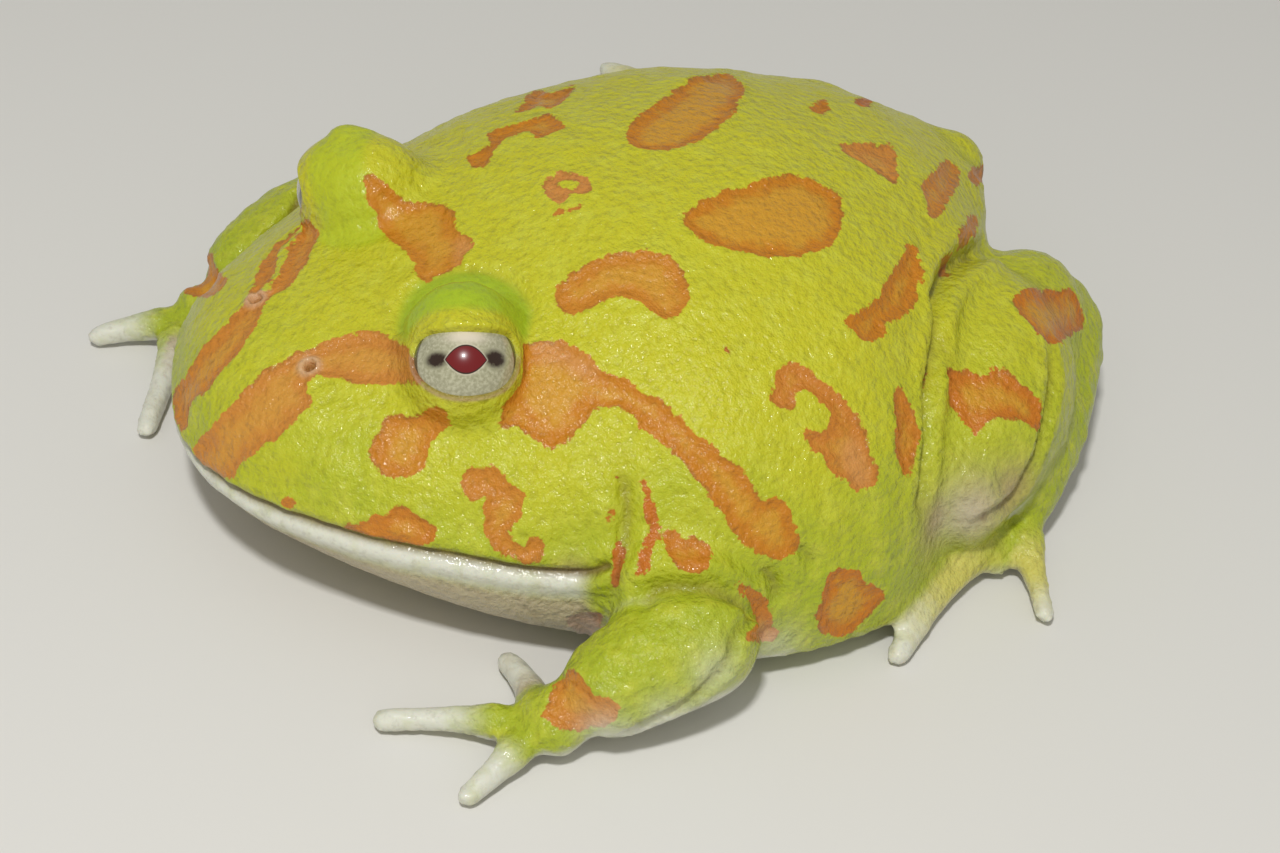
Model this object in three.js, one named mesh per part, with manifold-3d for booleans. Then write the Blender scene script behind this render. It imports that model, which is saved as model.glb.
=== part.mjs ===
// Argentine horned frog, life size, sitting with its belly on the floor and its mouth closed.
// Units are millimetres. The frog faces -Y, its left side is +X and up is +Z.
// The origin is on the floor under the middle of the belly, in the flat that the frog rests on.
import * as THREE from 'three';
import { LoftGeometry } from 'three/addons/geometries/LoftGeometry.js';
import { mergeVertices } from 'three/addons/utils/BufferGeometryUtils.js';
import Module from 'manifold-3d';

const wasm = await Module();
wasm.setup();

// Gap between neighbouring pieces
const GAP = 0.3;
// How far below the floor a cutting shape reaches, so that no skin of material is left under it
const CUTTER_DEPTH = 1;

// Body outline from snout to rump, one row for each station along the body:
// y, half width, top height, underside height, height of the widest point,
// roundness of the upper half, roundness of the lower half, sideways offset of the middle.
// A roundness of 2 is an ellipse, and more is squarer. The belly spreads a little to the left.
const BODY = [
  [-52.0, 0.0, 16.5, 14.5, 15.5, 2.0, 2.0, 0.0],
  [-49.5, 11.0, 22.5, 10.0, 15.0, 2.0, 2.0, 0.0],
  [-45.0, 19.0, 26.5, 7.5, 14.5, 2.0, 2.1, 0.0],
  [-38.0, 26.5, 29.5, 4.5, 13.5, 2.0, 2.3, 0.5],
  [-28.0, 33.3, 32.8, 1.0, 11.5, 2.1, 2.6, 1.5],
  [-18.0, 38.0, 36.5, -0.3, 9.0, 2.2, 2.7, 3.0],
  [-6.0, 43.7, 40.5, -0.6, 6.0, 2.2, 2.6, 5.0],
  [8.0, 45.2, 41.5, -0.6, 5.0, 2.2, 2.6, 5.0],
  [22.0, 41.5, 40.3, -0.6, 5.0, 2.2, 2.6, 3.0],
  [36.0, 31.5, 36.4, -0.6, 7.0, 2.2, 2.4, 1.0],
  [45.5, 19.0, 31.6, 0.5, 13.0, 2.4, 2.0, -0.5],
  [51.5, 12.0, 27.8, 5.0, 17.5, 2.6, 2.0, -1.5],
  [55.6, 0.0, 21.5, 16.5, 19.0, 2.2, 2.0, -1.5],
];
const SNOUT_Y = BODY[0][0];
const RUMP_Y = BODY[BODY.length - 1][0];
// The cut between head and trunk, just behind the corners of the mouth
const NECK_Y = -15;
const BODY_SIDES = 32;
const HEAD_RINGS = 12;
const TRUNK_RINGS = 20;
// The snout and rump end in a small flat this share of the body's length from the tip
const TIP_SHARE = 0.004;

// Mouth: the closed lips lie in one plane that drops from the tip of the snout to the corners
const LIP_TIP = { y: -52, z: 14.6 };
const LIP_CORNER = { y: -16.9, z: 9.2 };

// Eyes and the brow domes over them, left side first. The head is turned a little to its right.
const EYE_RADIUS = 5.9;
const EYES = [
  { side: 'left', eye: [18.9, -27.6, 32.0], brow: [16.5, -26.7, 31.8] },
  { side: 'right', eye: [-17.3, -25.6, 32.0], brow: [-15.2, -24.7, 31.8] },
];
const BROW_RADII = [7.1, 7.3, 8.3];

// Limbs: each is a round tube through a few points, with a radius at evenly spaced places.
// flat is the height of the section as a share of its width.
const LIMBS = {
  left: {
    upper_arm: { through: [[30, -15, 14], [40, -13, 13], [48.5, -8.5, 11.5]], radii: [8.5, 7.8, 7.2] },
    forearm: { through: [[47.8, -7.2, 11], [48.2, -19, 9.4], [47.6, -29.6, 6]], radii: [7.2, 6.5, 4.4] },
    hand: { through: [[47.3, -27.8, 5.2], [46, -33.8, 3.3]], radii: [4.6, 3.9], flat: 0.8 },
    finger_1: {
      through: [[44.5, -30.8, 3.4], [38.5, -29.5, 2.4], [32.4, -29.2, 1.3]],
      radii: [2.4, 1.7, 1.4],
    },
    finger_2: { through: [[44.2, -34, 3.2], [39.6, -39.8, 2.3], [35.2, -46.9, 1.3]], radii: [2.5, 1.7, 1.4] },
    finger_3: { through: [[47, -34, 3.2], [48.7, -38.6, 2.2], [50.4, -43.9, 1.2]], radii: [2.4, 1.6, 1.3] },
    finger_4: {
      through: [[46.5, -32.5, 2.6], [46.6, -29.5, 1.9], [46.2, -26.2, 1.3]],
      radii: [1.9, 1.6, 1.4],
    },
    thigh: { through: [[14, 42, 16], [30, 35, 15], [41.5, 21, 12]], radii: [12, 12, 9] },
    shank: { through: [[42, 18.5, 10.5], [33.5, 33.5, 13.5], [13.8, 56, 16.5]], radii: [8.4, 8.4, 7.2] },
    foot: {
      through: [[17.5, 58.5, 13], [24.5, 55, 10.8], [33, 47.3, 8.8], [38.5, 40.5, 6.6], [41.8, 34, 4.2]],
      radii: [5.6, 5.2, 4.8, 4.3, 3.7],
    },
    toe_1: { through: [[39.5, 35, 3.2], [35.5, 34.2, 2.2], [31, 34.5, 1.3]], radii: [2.1, 1.6, 1.4] },
    toe_2: { through: [[40, 33, 3.4], [36.8, 28.2, 2.3], [34, 24, 1.3]], radii: [2.2, 1.6, 1.4] },
    toe_3: { through: [[41, 32, 3.6], [40.8, 26.5, 2.4], [40.2, 21, 1.3]], radii: [2.3, 1.6, 1.4] },
    toe_4: { through: [[41.8, 32.5, 4], [45.4, 21.8, 2.6], [51.1, 12.2, 1.3]], radii: [2.7, 1.8, 1.4] },
    toe_5: { through: [[42.5, 35.2, 3.8], [47.4, 33.1, 2.1], [52.6, 31.2, 1.1]], radii: [2.5, 1.5, 1.2] },
  },
  right: {
    upper_arm: { through: [[-26, -14, 13], [-34, -13, 12], [-41.5, -9.5, 10.5]], radii: [8.0, 7.5, 6.8] },
    forearm: { through: [[-41.6, -8.8, 10.5], [-40.6, -21, 9.7], [-38.2, -33, 6.3]], radii: [6.9, 6.6, 4.8] },
    hand: { through: [[-38.2, -31.8, 5.2], [-37.4, -38.2, 3.2]], radii: [4.6, 3.9], flat: 0.8 },
    finger_1: {
      through: [[-35.5, -36, 3.2], [-29.5, -35.3, 2.2], [-24, -35.3, 1.3]],
      radii: [2.4, 1.6, 1.4],
    },
    finger_2: { through: [[-38.2, -38.3, 3.2], [-40.6, -44, 2.2], [-42, -49, 1.3]], radii: [2.5, 1.7, 1.4] },
    finger_3: { through: [[-36.5, -38.5, 3.2], [-29, -44, 2.1], [-20.9, -50, 1.3]], radii: [2.5, 1.6, 1.4] },
    finger_4: { through: [[-39, -37, 2.8], [-39.9, -34, 2.1], [-39.6, -30.6, 1.3]], radii: [2, 1.6, 1.4] },
    thigh: { through: [[-14, 42, 15], [-27, 37, 13], [-37.5, 25, 10.5]], radii: [11, 10.5, 8.5] },
    shank: { through: [[-38.5, 21, 9.6], [-39, 36.5, 11], [-29.5, 53, 12.5]], radii: [8.0, 8.0, 6.6] },
    foot: { through: [[-28, 55, 10.5], [-41, 52.5, 7.5], [-54, 45.8, 4.2]], radii: [5.4, 4.8, 3.8] },
    toe_1: { through: [[-52, 45.5, 3.2], [-50, 39.5, 2.2], [-47.8, 34.5, 1.3]], radii: [2.2, 1.6, 1.4] },
    toe_2: { through: [[-53, 45, 3.4], [-53, 37, 2.3], [-51.5, 30.5, 1.3]], radii: [2.3, 1.6, 1.4] },
    toe_3: { through: [[-54, 45, 3.4], [-58, 36, 2.3], [-59.8, 28, 1.3]], radii: [2.4, 1.6, 1.4] },
    toe_4: { through: [[-54, 45.8, 3.8], [-63.5, 45.6, 2.4], [-72.6, 42.5, 1.3]], radii: [2.7, 1.8, 1.4] },
    toe_5: { through: [[-53.5, 47, 3.6], [-58, 51.5, 2.3], [-62, 54.8, 1.2]], radii: [2.4, 1.5, 1.3] },
  },
};
// Rings and sides of the tubes, by how fine the piece is
const LIMB_DETAIL = { rings: 8, sides: 12 };
const DIGIT_DETAIL = { rings: 6, sides: 8 };
const EYE_DETAIL = { across: 12, down: 8 };
const BROW_DETAIL = { across: 14, down: 9 };

// Colours and surfaces
const skin = new THREE.MeshStandardMaterial({ color: 0xb2b73c, roughness: 0.45, metalness: 0 });
const paleSkin = new THREE.MeshStandardMaterial({ color: 0xc0c3ae, roughness: 0.45, metalness: 0 });
const eyeGloss = new THREE.MeshStandardMaterial({ color: 0x8f905f, roughness: 0.08, metalness: 0 });

// Value at x of the smooth curve through the stations. Its slope at a station is the mean of the
// two neighbouring slopes, and it is level where the values turn round, so nothing overshoots.
function alongStations(x, xs, values) {
  const last = xs.length - 1;
  const at = Math.min(Math.max(x, xs[0]), xs[last]);
  let i = 0;
  while (i < last - 1 && at > xs[i + 1]) {
    i += 1;
  }
  const step = (k) => xs[k + 1] - xs[k];
  const slope = (k) => (values[k + 1] - values[k]) / step(k);
  const tangent = (k) => {
    if (k === 0) {
      return slope(0);
    }
    if (k === last) {
      return slope(last - 1);
    }
    if (slope(k - 1) * slope(k) <= 0) {
      return 0;
    }
    return (slope(k - 1) * step(k) + slope(k) * step(k - 1)) / (step(k - 1) + step(k));
  };
  const h = step(i);
  const t = (at - xs[i]) / h;
  return values[i] * (2 * t ** 3 - 3 * t ** 2 + 1)
    + tangent(i) * h * (t ** 3 - 2 * t ** 2 + t)
    + values[i + 1] * (3 * t ** 2 - 2 * t ** 3)
    + tangent(i + 1) * h * (t ** 3 - t ** 2);
}

const column = (k) => BODY.map((station) => station[k]);
const signedPower = (v, p) => Math.sign(v) * Math.abs(v) ** p;

// One ring of the body at a place along it. Half width and heights follow the square root of a
// smooth curve through their squares, so the snout and the rump close as round noses.
function bodyRing(y, grow, floor) {
  const ys = column(0);
  const widest = column(4);
  const rise = column(2).map((top, k) => (k === 0 || k === ys.length - 1 ? 0 : (top - widest[k]) ** 2));
  const drop = column(3).map((low, k) => (k === 0 || k === ys.length - 1 ? 0 : (widest[k] - low) ** 2));
  const root = (values) => Math.sqrt(Math.max(alongStations(y, ys, values), 0)) + grow;
  const width = root(column(1).map((w) => w ** 2));
  const upper = root(rise);
  const lower = root(drop);
  const middle = alongStations(y, ys, widest);
  const offset = alongStations(y, ys, column(7));
  const ring = [];
  for (let k = 0; k < BODY_SIDES; k += 1) {
    const angle = (2 * Math.PI * k) / BODY_SIDES;
    const above = Math.sin(angle) >= 0;
    const power = 2 / alongStations(y, ys, column(above ? 5 : 6));
    const x = offset - width * signedPower(Math.cos(angle), power);
    const z = middle + (above ? upper : lower) * signedPower(Math.sin(angle), power);
    ring.push(new THREE.Vector3(x, y, Math.max(z, floor)));
  }
  return ring;
}

// A length of the body from one share of its length to another. Rings crowd towards the two tips.
function bodyLength(from, to, rings, grow = 0, floor = 0) {
  const length = RUMP_Y - SNOUT_Y;
  const phase = (y) => Math.acos(1 - (2 * (y - SNOUT_Y)) / length);
  const sections = [];
  for (let k = 0; k < rings; k += 1) {
    const p = phase(from) + ((phase(to) - phase(from)) * k) / (rings - 1);
    const y = SNOUT_Y + (length * (1 - Math.cos(p))) / 2;
    sections.push(bodyRing(y, grow, floor));
  }
  return new LoftGeometry(sections, { capStart: true, capEnd: true });
}

// A round tube through a limb's points, with rounded ends, flattened where it meets the floor
function limbTube(limb, detail, grow = 0, floor = 0) {
  const points = limb.through.map((p) => new THREE.Vector3(...p));
  const spline = new THREE.CatmullRomCurve3(points);
  const length = spline.getLength();
  const first = limb.radii[0];
  const last = limb.radii[limb.radii.length - 1];
  const sections = [];
  for (let k = 0; k < detail.rings; k += 1) {
    const endInset = 0.05;
    const share = (1 - Math.cos(Math.PI * (endInset + ((1 - 2 * endInset) * k) / (detail.rings - 1)))) / 2;
    const centre = spline.getPointAt(share);
    const along = spline.getTangentAt(share);
    const side = new THREE.Vector3().crossVectors(along, new THREE.Vector3(0, 0, 1)).normalize();
    const up = new THREE.Vector3().crossVectors(side, along);
    const place = share * (limb.radii.length - 1);
    const low = Math.min(Math.floor(place), limb.radii.length - 2);
    const girth = THREE.MathUtils.lerp(limb.radii[low], limb.radii[low + 1], place - low);
    const fromStart = Math.min((share * length) / first, 1);
    const fromEnd = Math.min(((1 - share) * length) / last, 1);
    const rounding = Math.sqrt(1 - (1 - fromStart) ** 2) * Math.sqrt(1 - (1 - fromEnd) ** 2);
    const radius = girth * rounding + grow;
    const shift = grow * (k === 0 ? -1 : 0) + grow * (k === detail.rings - 1 ? 1 : 0);
    const ring = [];
    for (let s = 0; s < detail.sides; s += 1) {
      const angle = (2 * Math.PI * s) / detail.sides;
      const point = centre.clone()
        .addScaledVector(along, shift)
        .addScaledVector(side, -radius * Math.cos(angle))
        .addScaledVector(up, radius * (limb.flat ?? 1) * Math.sin(angle));
      point.z = Math.max(point.z, floor);
      ring.push(point);
    }
    sections.push(ring);
  }
  return new LoftGeometry(sections, { capStart: true, capEnd: true });
}

function ellipsoid(centre, radii, detail) {
  const geometry = new THREE.SphereGeometry(1, detail.across, detail.down);
  geometry.rotateX(Math.PI / 2);
  geometry.scale(...radii);
  geometry.translate(...centre);
  return geometry;
}

// A closed geometry as a solid that can be joined and cut
function solidOf(geometry) {
  const plain = new THREE.BufferGeometry();
  plain.setAttribute('position', geometry.getAttribute('position'));
  plain.setIndex(geometry.getIndex());
  const merged = mergeVertices(plain, 1e-4);
  const index = merged.index.array;
  const corners = [];
  for (let k = 0; k < index.length; k += 3) {
    const [a, b, c] = [index[k], index[k + 1], index[k + 2]];
    if (a !== b && b !== c && c !== a) {
      corners.push(a, b, c);
    }
  }
  return new wasm.Manifold(new wasm.Mesh({
    numProp: 3,
    vertProperties: new Float32Array(merged.attributes.position.array),
    triVerts: new Uint32Array(corners),
  }));
}

const frog = new THREE.Group();
frog.name = 'frog';

function addPiece(name, solid, material) {
  const { vertProperties, triVerts } = solid.getMesh();
  const geometry = new THREE.BufferGeometry();
  geometry.setAttribute('position', new THREE.BufferAttribute(new Float32Array(vertProperties), 3));
  geometry.setIndex(new THREE.BufferAttribute(new Uint32Array(triVerts), 1));
  geometry.computeVertexNormals();
  const mesh = new THREE.Mesh(geometry, material);
  mesh.name = name;
  frog.add(mesh);
}

const cutFrom = (solid, cutters) => cutters.reduce((rest, cutter) => rest.subtract(cutter), solid);

// Head, lower jaw and eyes
const bodyTip = TIP_SHARE * (RUMP_Y - SNOUT_Y);
const headLength = solidOf(bodyLength(SNOUT_Y + bodyTip, NECK_Y - GAP / 2, HEAD_RINGS));
const browSolids = EYES.map(({ brow }) => solidOf(ellipsoid(brow, BROW_RADII, BROW_DETAIL)));
const eyeRoom = [EYE_RADIUS + GAP, EYE_RADIUS + GAP, EYE_RADIUS + GAP];
const eyeSockets = EYES.map(({ eye }) => solidOf(ellipsoid(eye, eyeRoom, EYE_DETAIL)));
const wholeHead = browSolids.reduce((head, brow) => head.add(brow), headLength);

// A block whose flat face is the plane of the lips, moved off it by half the gap, above or below
function lipBlock(direction) {
  const size = 160;
  const slope = Math.atan2(LIP_CORNER.z - LIP_TIP.z, LIP_CORNER.y - LIP_TIP.y);
  const block = new THREE.BoxGeometry(size, size, size);
  block.translate(0, 0, direction * (size / 2 + GAP / 2));
  block.rotateX(slope);
  block.translate(0, (LIP_TIP.y + LIP_CORNER.y) / 2, (LIP_TIP.z + LIP_CORNER.z) / 2);
  return solidOf(block);
}
addPiece('head', cutFrom(wholeHead.intersect(lipBlock(1)), eyeSockets), skin);
addPiece('lower_jaw', headLength.intersect(lipBlock(-1)), paleSkin);
EYES.forEach(({ side, eye }) => {
  const radii = [EYE_RADIUS, EYE_RADIUS, EYE_RADIUS];
  addPiece(`eye_${side}`, solidOf(ellipsoid(eye, radii, EYE_DETAIL)), eyeGloss);
});

// Trunk
addPiece('trunk', solidOf(bodyLength(NECK_Y + GAP / 2, RUMP_Y - bodyTip, TRUNK_RINGS)), skin);
const bodyRoom = solidOf(
  bodyLength(SNOUT_Y + bodyTip, RUMP_Y - bodyTip, HEAD_RINGS + TRUNK_RINGS, GAP, -CUTTER_DEPTH),
);

// One limb: each segment is cut back from the body and from the segments named after it
const SEGMENTS = [
  { name: 'forearm', clear: [] },
  { name: 'upper_arm', clear: ['forearm'] },
  { name: 'hand', clear: ['forearm'] },
  { name: 'shank', clear: [] },
  { name: 'thigh', clear: ['shank'] },
  { name: 'foot', clear: ['shank', 'thigh'] },
];
const FINGERS = ['finger_2', 'finger_3', 'finger_1', 'finger_4'];
const TOES = ['toe_4', 'toe_5', 'toe_3', 'toe_2', 'toe_1'];

Object.entries(LIMBS).forEach(([side, limbs]) => {
  const room = {};
  const make = (name, detail, clear, material) => {
    const cutters = clear.map((other) => room[other]);
    const solid = cutFrom(solidOf(limbTube(limbs[name], detail)), [bodyRoom, ...cutters]);
    room[name] = solidOf(limbTube(limbs[name], detail, GAP, -CUTTER_DEPTH));
    addPiece(`${name}_${side}`, solid, material);
  };
  SEGMENTS.forEach(({ name, clear }) => make(name, LIMB_DETAIL, clear, skin));
  FINGERS.forEach((name, k) => {
    make(name, DIGIT_DETAIL, ['hand', 'forearm', ...FINGERS.slice(0, k)], paleSkin);
  });
  TOES.forEach((name, k) => {
    make(name, DIGIT_DETAIL, ['foot', 'shank', 'thigh', ...TOES.slice(0, k)], paleSkin);
  });
});

export default frog;
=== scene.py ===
"""Argentine horned frog, life size: one seamless skin, two eyes and a plain studio stage."""
import math
from functools import partial

import bpy
import numpy as np
from mathutils import Matrix, Vector
from mathutils.bvhtree import BVHTree


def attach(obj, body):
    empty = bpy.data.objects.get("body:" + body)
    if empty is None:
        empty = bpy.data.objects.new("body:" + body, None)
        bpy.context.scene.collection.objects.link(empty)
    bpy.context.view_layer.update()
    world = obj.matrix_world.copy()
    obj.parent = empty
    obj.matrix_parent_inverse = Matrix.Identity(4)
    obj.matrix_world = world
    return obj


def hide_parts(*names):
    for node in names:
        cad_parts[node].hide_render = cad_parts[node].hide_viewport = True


bl_info = {
    "name": "Horned frog",
    "version": (1, 0, 0),
    "blender": (4, 5, 0),
    "location": "3D View > Sidebar > Frog",
    "description": "Makes a life-size argentine horned frog with its skin, eyes and stage",
    "category": "Object",
}

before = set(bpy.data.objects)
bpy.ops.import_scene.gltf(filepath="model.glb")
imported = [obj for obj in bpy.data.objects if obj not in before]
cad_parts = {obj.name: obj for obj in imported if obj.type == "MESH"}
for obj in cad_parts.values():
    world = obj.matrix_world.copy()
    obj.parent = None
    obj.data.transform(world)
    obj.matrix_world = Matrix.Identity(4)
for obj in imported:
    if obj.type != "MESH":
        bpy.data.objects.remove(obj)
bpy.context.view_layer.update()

# All shapes are worked out in millimetres and become metres when a mesh is made
MM = 0.001
# What a length is taken as instead of nothing, before something is divided by it
TINY = 1e-12
TINY_STEP = 1e-9

# The photograph's frame and the camera that was fitted to it
PHOTO_WIDTH = 1280
PHOTO_HEIGHT = 853
CAMERA_TARGET = np.array([20.75, -5.75, 17.45])
CAMERA_DISTANCE = 320.0
CAMERA_AZIMUTH = 57.1
CAMERA_ELEVATION = 38.4
CAMERA_ROLL = 4.5
FOCAL_PIXELS = 2800.0
SENSOR_WIDTH = 36.0
CLIP_START = 0.01
# The studio: lights in metres and a faintly warm sky, and the floor's half width and drop in mm
KEY_PLACE = (0.25, -0.21, 0.54)
KEY_SIZE = 0.05
FILL_PLACE = (0.80, -0.55, 0.70)
FILL_SIZE = 1.2
SKY_COLOUR = (1.0, 1.0, 0.97, 1.0)
FLOOR_HALF = 900.0
FLOOR_DROP = 0.05

# Body outline from snout to rump, close to the solids' but with a narrower rump: y, half width, top,
# underside, height of the widest point, roundness above, roundness below, sideways offset
BODY = np.array([
    (-52.0, 0.0, 16.5, 14.5, 15.5, 2.0, 2.0, 0.0),
    (-49.5, 11.0, 22.5, 10.0, 15.0, 2.0, 2.0, 0.0),
    (-45.0, 19.0, 26.5, 7.5, 14.5, 2.0, 2.1, 0.0),
    (-38.0, 26.5, 29.5, 4.5, 13.5, 2.0, 2.3, 0.5),
    (-28.0, 33.3, 32.8, 1.0, 11.5, 2.1, 2.6, 1.5),
    (-18.0, 38.0, 36.5, -0.3, 9.0, 2.2, 2.7, 3.0),
    (-6.0, 43.7, 40.5, -0.6, 6.0, 2.2, 2.6, 5.0),
    (8.0, 45.2, 41.5, -0.6, 5.0, 2.2, 2.6, 5.0),
    (22.0, 41.5, 40.3, -0.6, 5.0, 2.2, 2.6, 3.0),
    (36.0, 31.5, 36.4, -0.6, 7.0, 2.2, 2.4, 1.0),
    (45.5, 18.0, 31.6, 0.5, 13.0, 2.4, 2.0, -0.5),
    (51.5, 9.6, 27.8, 5.0, 17.5, 2.6, 2.0, -1.5),
    (55.6, 0.0, 21.5, 16.5, 19.0, 2.2, 2.0, -1.5),
])
BODY_Y, BODY_WIDTH, BODY_TOP, BODY_LOW, BODY_WIDEST, BODY_ROUND_UP, BODY_ROUND_LOW, BODY_OFFSET = BODY.T

# Eyes: centre, the brow dome over each, its side, where it looks, how far its upper lid stands out, and
# how many times smaller its opening is than the one read off the photograph
EYE_RADIUS = 5.9
EYES = {
    "left": {"eye": (18.9, -27.6, 32.0), "brow": (16.5, -26.7, 31.8), "side": 1,
             "gaze": (0.603, -0.315, 0.733), "overhang": 0.8, "shut": 0.945},
    "right": {"eye": (-16.7, -24.6, 32.0), "brow": (-14.1, -22.9, 31.8), "side": -1,
              "gaze": (-0.81, -0.57, 0.08), "overhang": 0.6, "shut": 1.15},
}
BROW_RADII = (7.1, 7.3, 8.3)
# The little peak on the far lid
HORN = ([(-14.5, -23, 34.5), (-18, -23.6, 37), (-21.7, -24.1, 38.6)], (4.5, 3.2, 1.2), 1)
# The eyeball's clear front: how far it bulges and its half width as an angle. The pupil's size from its
# middle, how far it sits below the eye's, and the distance from there at which the iris ends
CORNEA_RISE = 0.2
CORNEA_WIDTH = 0.55
PUPIL_HALF_WIDTH = 2.2
PUPIL_HALF_HEIGHT = 1.47
PUPIL_DROP = 0.25
IRIS_RADIUS = 5.95
# The lids: the ball that they start from, the skin's radius behind the opening, the thickness of their
# edge, how far back it rolls over, its gap from the eyeball, and where the lids have run out into the skin
LID_SHELL = 6.55
LID_ROOM_UNDER = 5.05
LID_EDGE = 0.25
LID_ROLL = 0.4
LID_GAP = 0.1
LID_BLEND = 5.0
# Half width of the upper lid's overhang, and how softly it meets the skin above it, in square mm
LID_SPAN = 6
LID_SOFTNESS = 0.3

# Limbs: points along the middle, radii at evenly spaced places, height as a share of width
LIMBS = {
    "left": {
        "upper_arm": ([(30, -15, 14), (40, -13, 13), (48.5, -8.5, 11.5)], (8.5, 7.8, 7.2), 1),
        "forearm": ([(47.8, -7.2, 11), (48.2, -19, 9.4), (47.6, -29.6, 6)], (7.2, 6.5, 4.8), 1),
        "hand": ([(47.3, -26.8, 5.2), (46, -34.2, 3.3)], (5.1, 4.2), 0.8),
        "finger_1": ([(44.5, -30.8, 3.4), (38.5, -29.5, 2.4), (32.4, -29.2, 1.3)], (2.4, 1.7, 1.4), 1),
        "finger_2": ([(44.2, -34, 3.2), (39.6, -39.8, 2.3), (35.2, -46.9, 1.3)], (2.6, 1.7, 1.4, 1.5), 1),
        "finger_3": ([(47, -34, 3.2), (48.7, -38.6, 2.2), (50.4, -43.9, 1.2)], (2.4, 1.6, 1.3), 1),
        "finger_4": ([(46.5, -32.5, 2.6), (46.6, -29.5, 1.9), (46.2, -26.2, 1.3)], (1.9, 1.6, 1.4), 1),
        "thigh": ([(14, 42, 16), (30, 35, 15), (41.5, 21, 12)], (12, 12, 9), 1),
        "shank": ([(42, 18.5, 10.5), (33.5, 33.5, 13.5), (13.8, 56, 16.5)], (8.4, 8.4, 7.2), 1),
        "foot": ([(16.7, 57, 12.9), (23.6, 53.4, 10.7), (32.1, 45.9, 8.7),
                  (37.8, 39.3, 6.5), (41.6, 33.6, 4.2)], (5.6, 5.2, 4.8, 4.3, 3.7), 1),
        "toe_1": ([(39.5, 35, 3.2), (35.5, 34.2, 2.2), (31, 34.5, 1.3)], (2.1, 1.6, 1.4), 1),
        "toe_2": ([(40, 33, 3.4), (36.8, 28.2, 2.3), (34, 24, 1.3)], (2.2, 1.6, 1.4), 1),
        "toe_3": ([(41, 32, 3.6), (40.8, 26.5, 2.4), (40.2, 21, 1.3)], (2.3, 1.6, 1.4), 1),
        "toe_4": ([(41.8, 32.5, 4), (46.2, 21.2, 2.6), (53, 9.6, 1.3)], (2.8, 2.0, 1.6, 1.5), 1),
        "toe_5": ([(42.5, 35.2, 3.8), (48.9, 32.4, 2.3), (55.5, 29.6, 1.2)], (2.7, 1.8, 1.3, 1.3), 1),
    },
    "right": {
        "upper_arm": ([(-26, -14, 13), (-34, -13, 12), (-41.5, -9.5, 10.5)], (8.0, 7.5, 6.8), 1),
        "forearm": ([(-41.6, -8.8, 10.5), (-40.6, -21, 9.7), (-38.2, -33, 6.3)], (6.9, 6.6, 4.8), 1),
        "hand": ([(-38.2, -31.8, 5.2), (-37.4, -38.2, 3.2)], (4.6, 3.9), 0.8),
        "finger_1": ([(-35.5, -36, 3.2), (-29.5, -35.3, 2.2), (-24, -35.3, 1.3)], (2.4, 1.6, 1.4), 1),
        "finger_2": ([(-38.2, -38.3, 3.2), (-40.6, -44, 2.2), (-42, -49, 1.3)], (2.5, 1.7, 1.4), 1),
        "finger_3": ([(-36.5, -38.5, 3.2), (-29, -44, 2.1), (-20.9, -50, 1.3)], (2.5, 1.6, 1.4), 1),
        "finger_4": ([(-39, -37, 2.8), (-39.9, -34, 2.1), (-39.6, -30.6, 1.3)], (2, 1.6, 1.4), 1),
        "thigh": ([(-14, 42, 15), (-27, 37, 13), (-37.5, 25, 10.5)], (11, 10.5, 8.5), 1),
        "shank": ([(-38.5, 21, 9.6), (-39, 36.5, 11), (-29.5, 53, 12.5)], (8.0, 8.0, 6.6), 1),
        "foot": ([(-28, 55, 10.5), (-41, 52.5, 7.5), (-54, 45.8, 4.2)], (5.4, 4.8, 3.8), 1),
        "toe_1": ([(-52, 45.5, 3.2), (-50, 39.5, 2.2), (-47.8, 34.5, 1.3)], (2.2, 1.6, 1.4), 1),
        "toe_2": ([(-53, 45, 3.4), (-53, 37, 2.3), (-51.5, 30.5, 1.3)], (2.3, 1.6, 1.4), 1),
        "toe_3": ([(-54, 45, 3.4), (-58, 36, 2.3), (-59.8, 28, 1.3)], (2.4, 1.6, 1.4), 1),
        "toe_4": ([(-54, 45.8, 3.8), (-63.5, 45.6, 2.4), (-72.6, 42.5, 1.3)], (2.7, 1.8, 1.4), 1),
        "toe_5": ([(-53.5, 47, 3.6), (-58, 51.5, 2.3), (-62, 54.8, 1.2)], (2.4, 1.5, 1.3), 1),
    },
}
# Skin that fills between limbs: low webs between the hind toes, and the near heel
FILLS = [
    ([(42.5, 32, 2.4), (44.5, 29.8, 1.9), (46.2, 28.3, 1.3)], (3.0, 2.4, 1.5), 0.4),
    ([(-54, 44, 2.4), (-57, 40, 1.7), (-59.5, 37.5, 1.2)], (3.4, 2.8, 1.5), 0.35),
    ([(-55, 47, 2.4), (-59, 48, 1.7), (-61, 48.6, 1.2)], (3.2, 2.6, 1.5), 0.35),
    ([(13.5, 51.5, 14.5), (20, 54.4, 12.6), (27, 51, 10.2)], (6.2, 6.0, 5.0), 1),
]
# The end of the backbone, which squares off the rump
RUMP = ((-1.4, 51.8, 24.0), (4.6, 4.6, 4.6))
FLESH = ["head", "lower_jaw", "trunk"] + [f"{name}_{side}" for side in LIMBS for name in LIMBS[side]]

# The near eye's opening, in the photograph's pixels
EYE_OPENING = [(410, 357), (414, 342), (426, 333), (445, 330), (480, 330), (505, 332), (516, 340), (520, 355),
               (517, 372), (507, 386), (490, 394), (466, 397), (443, 394), (424, 384), (413, 371)]
# The upper lid's dome over it, where the skin is greener
LID_DOME = [(399, 335), (402, 308), (418, 286), (442, 275), (470, 272), (497, 278), (518, 292), (531, 312),
            (534, 335), (520, 345), (505, 331), (430, 331), (410, 350)]
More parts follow.
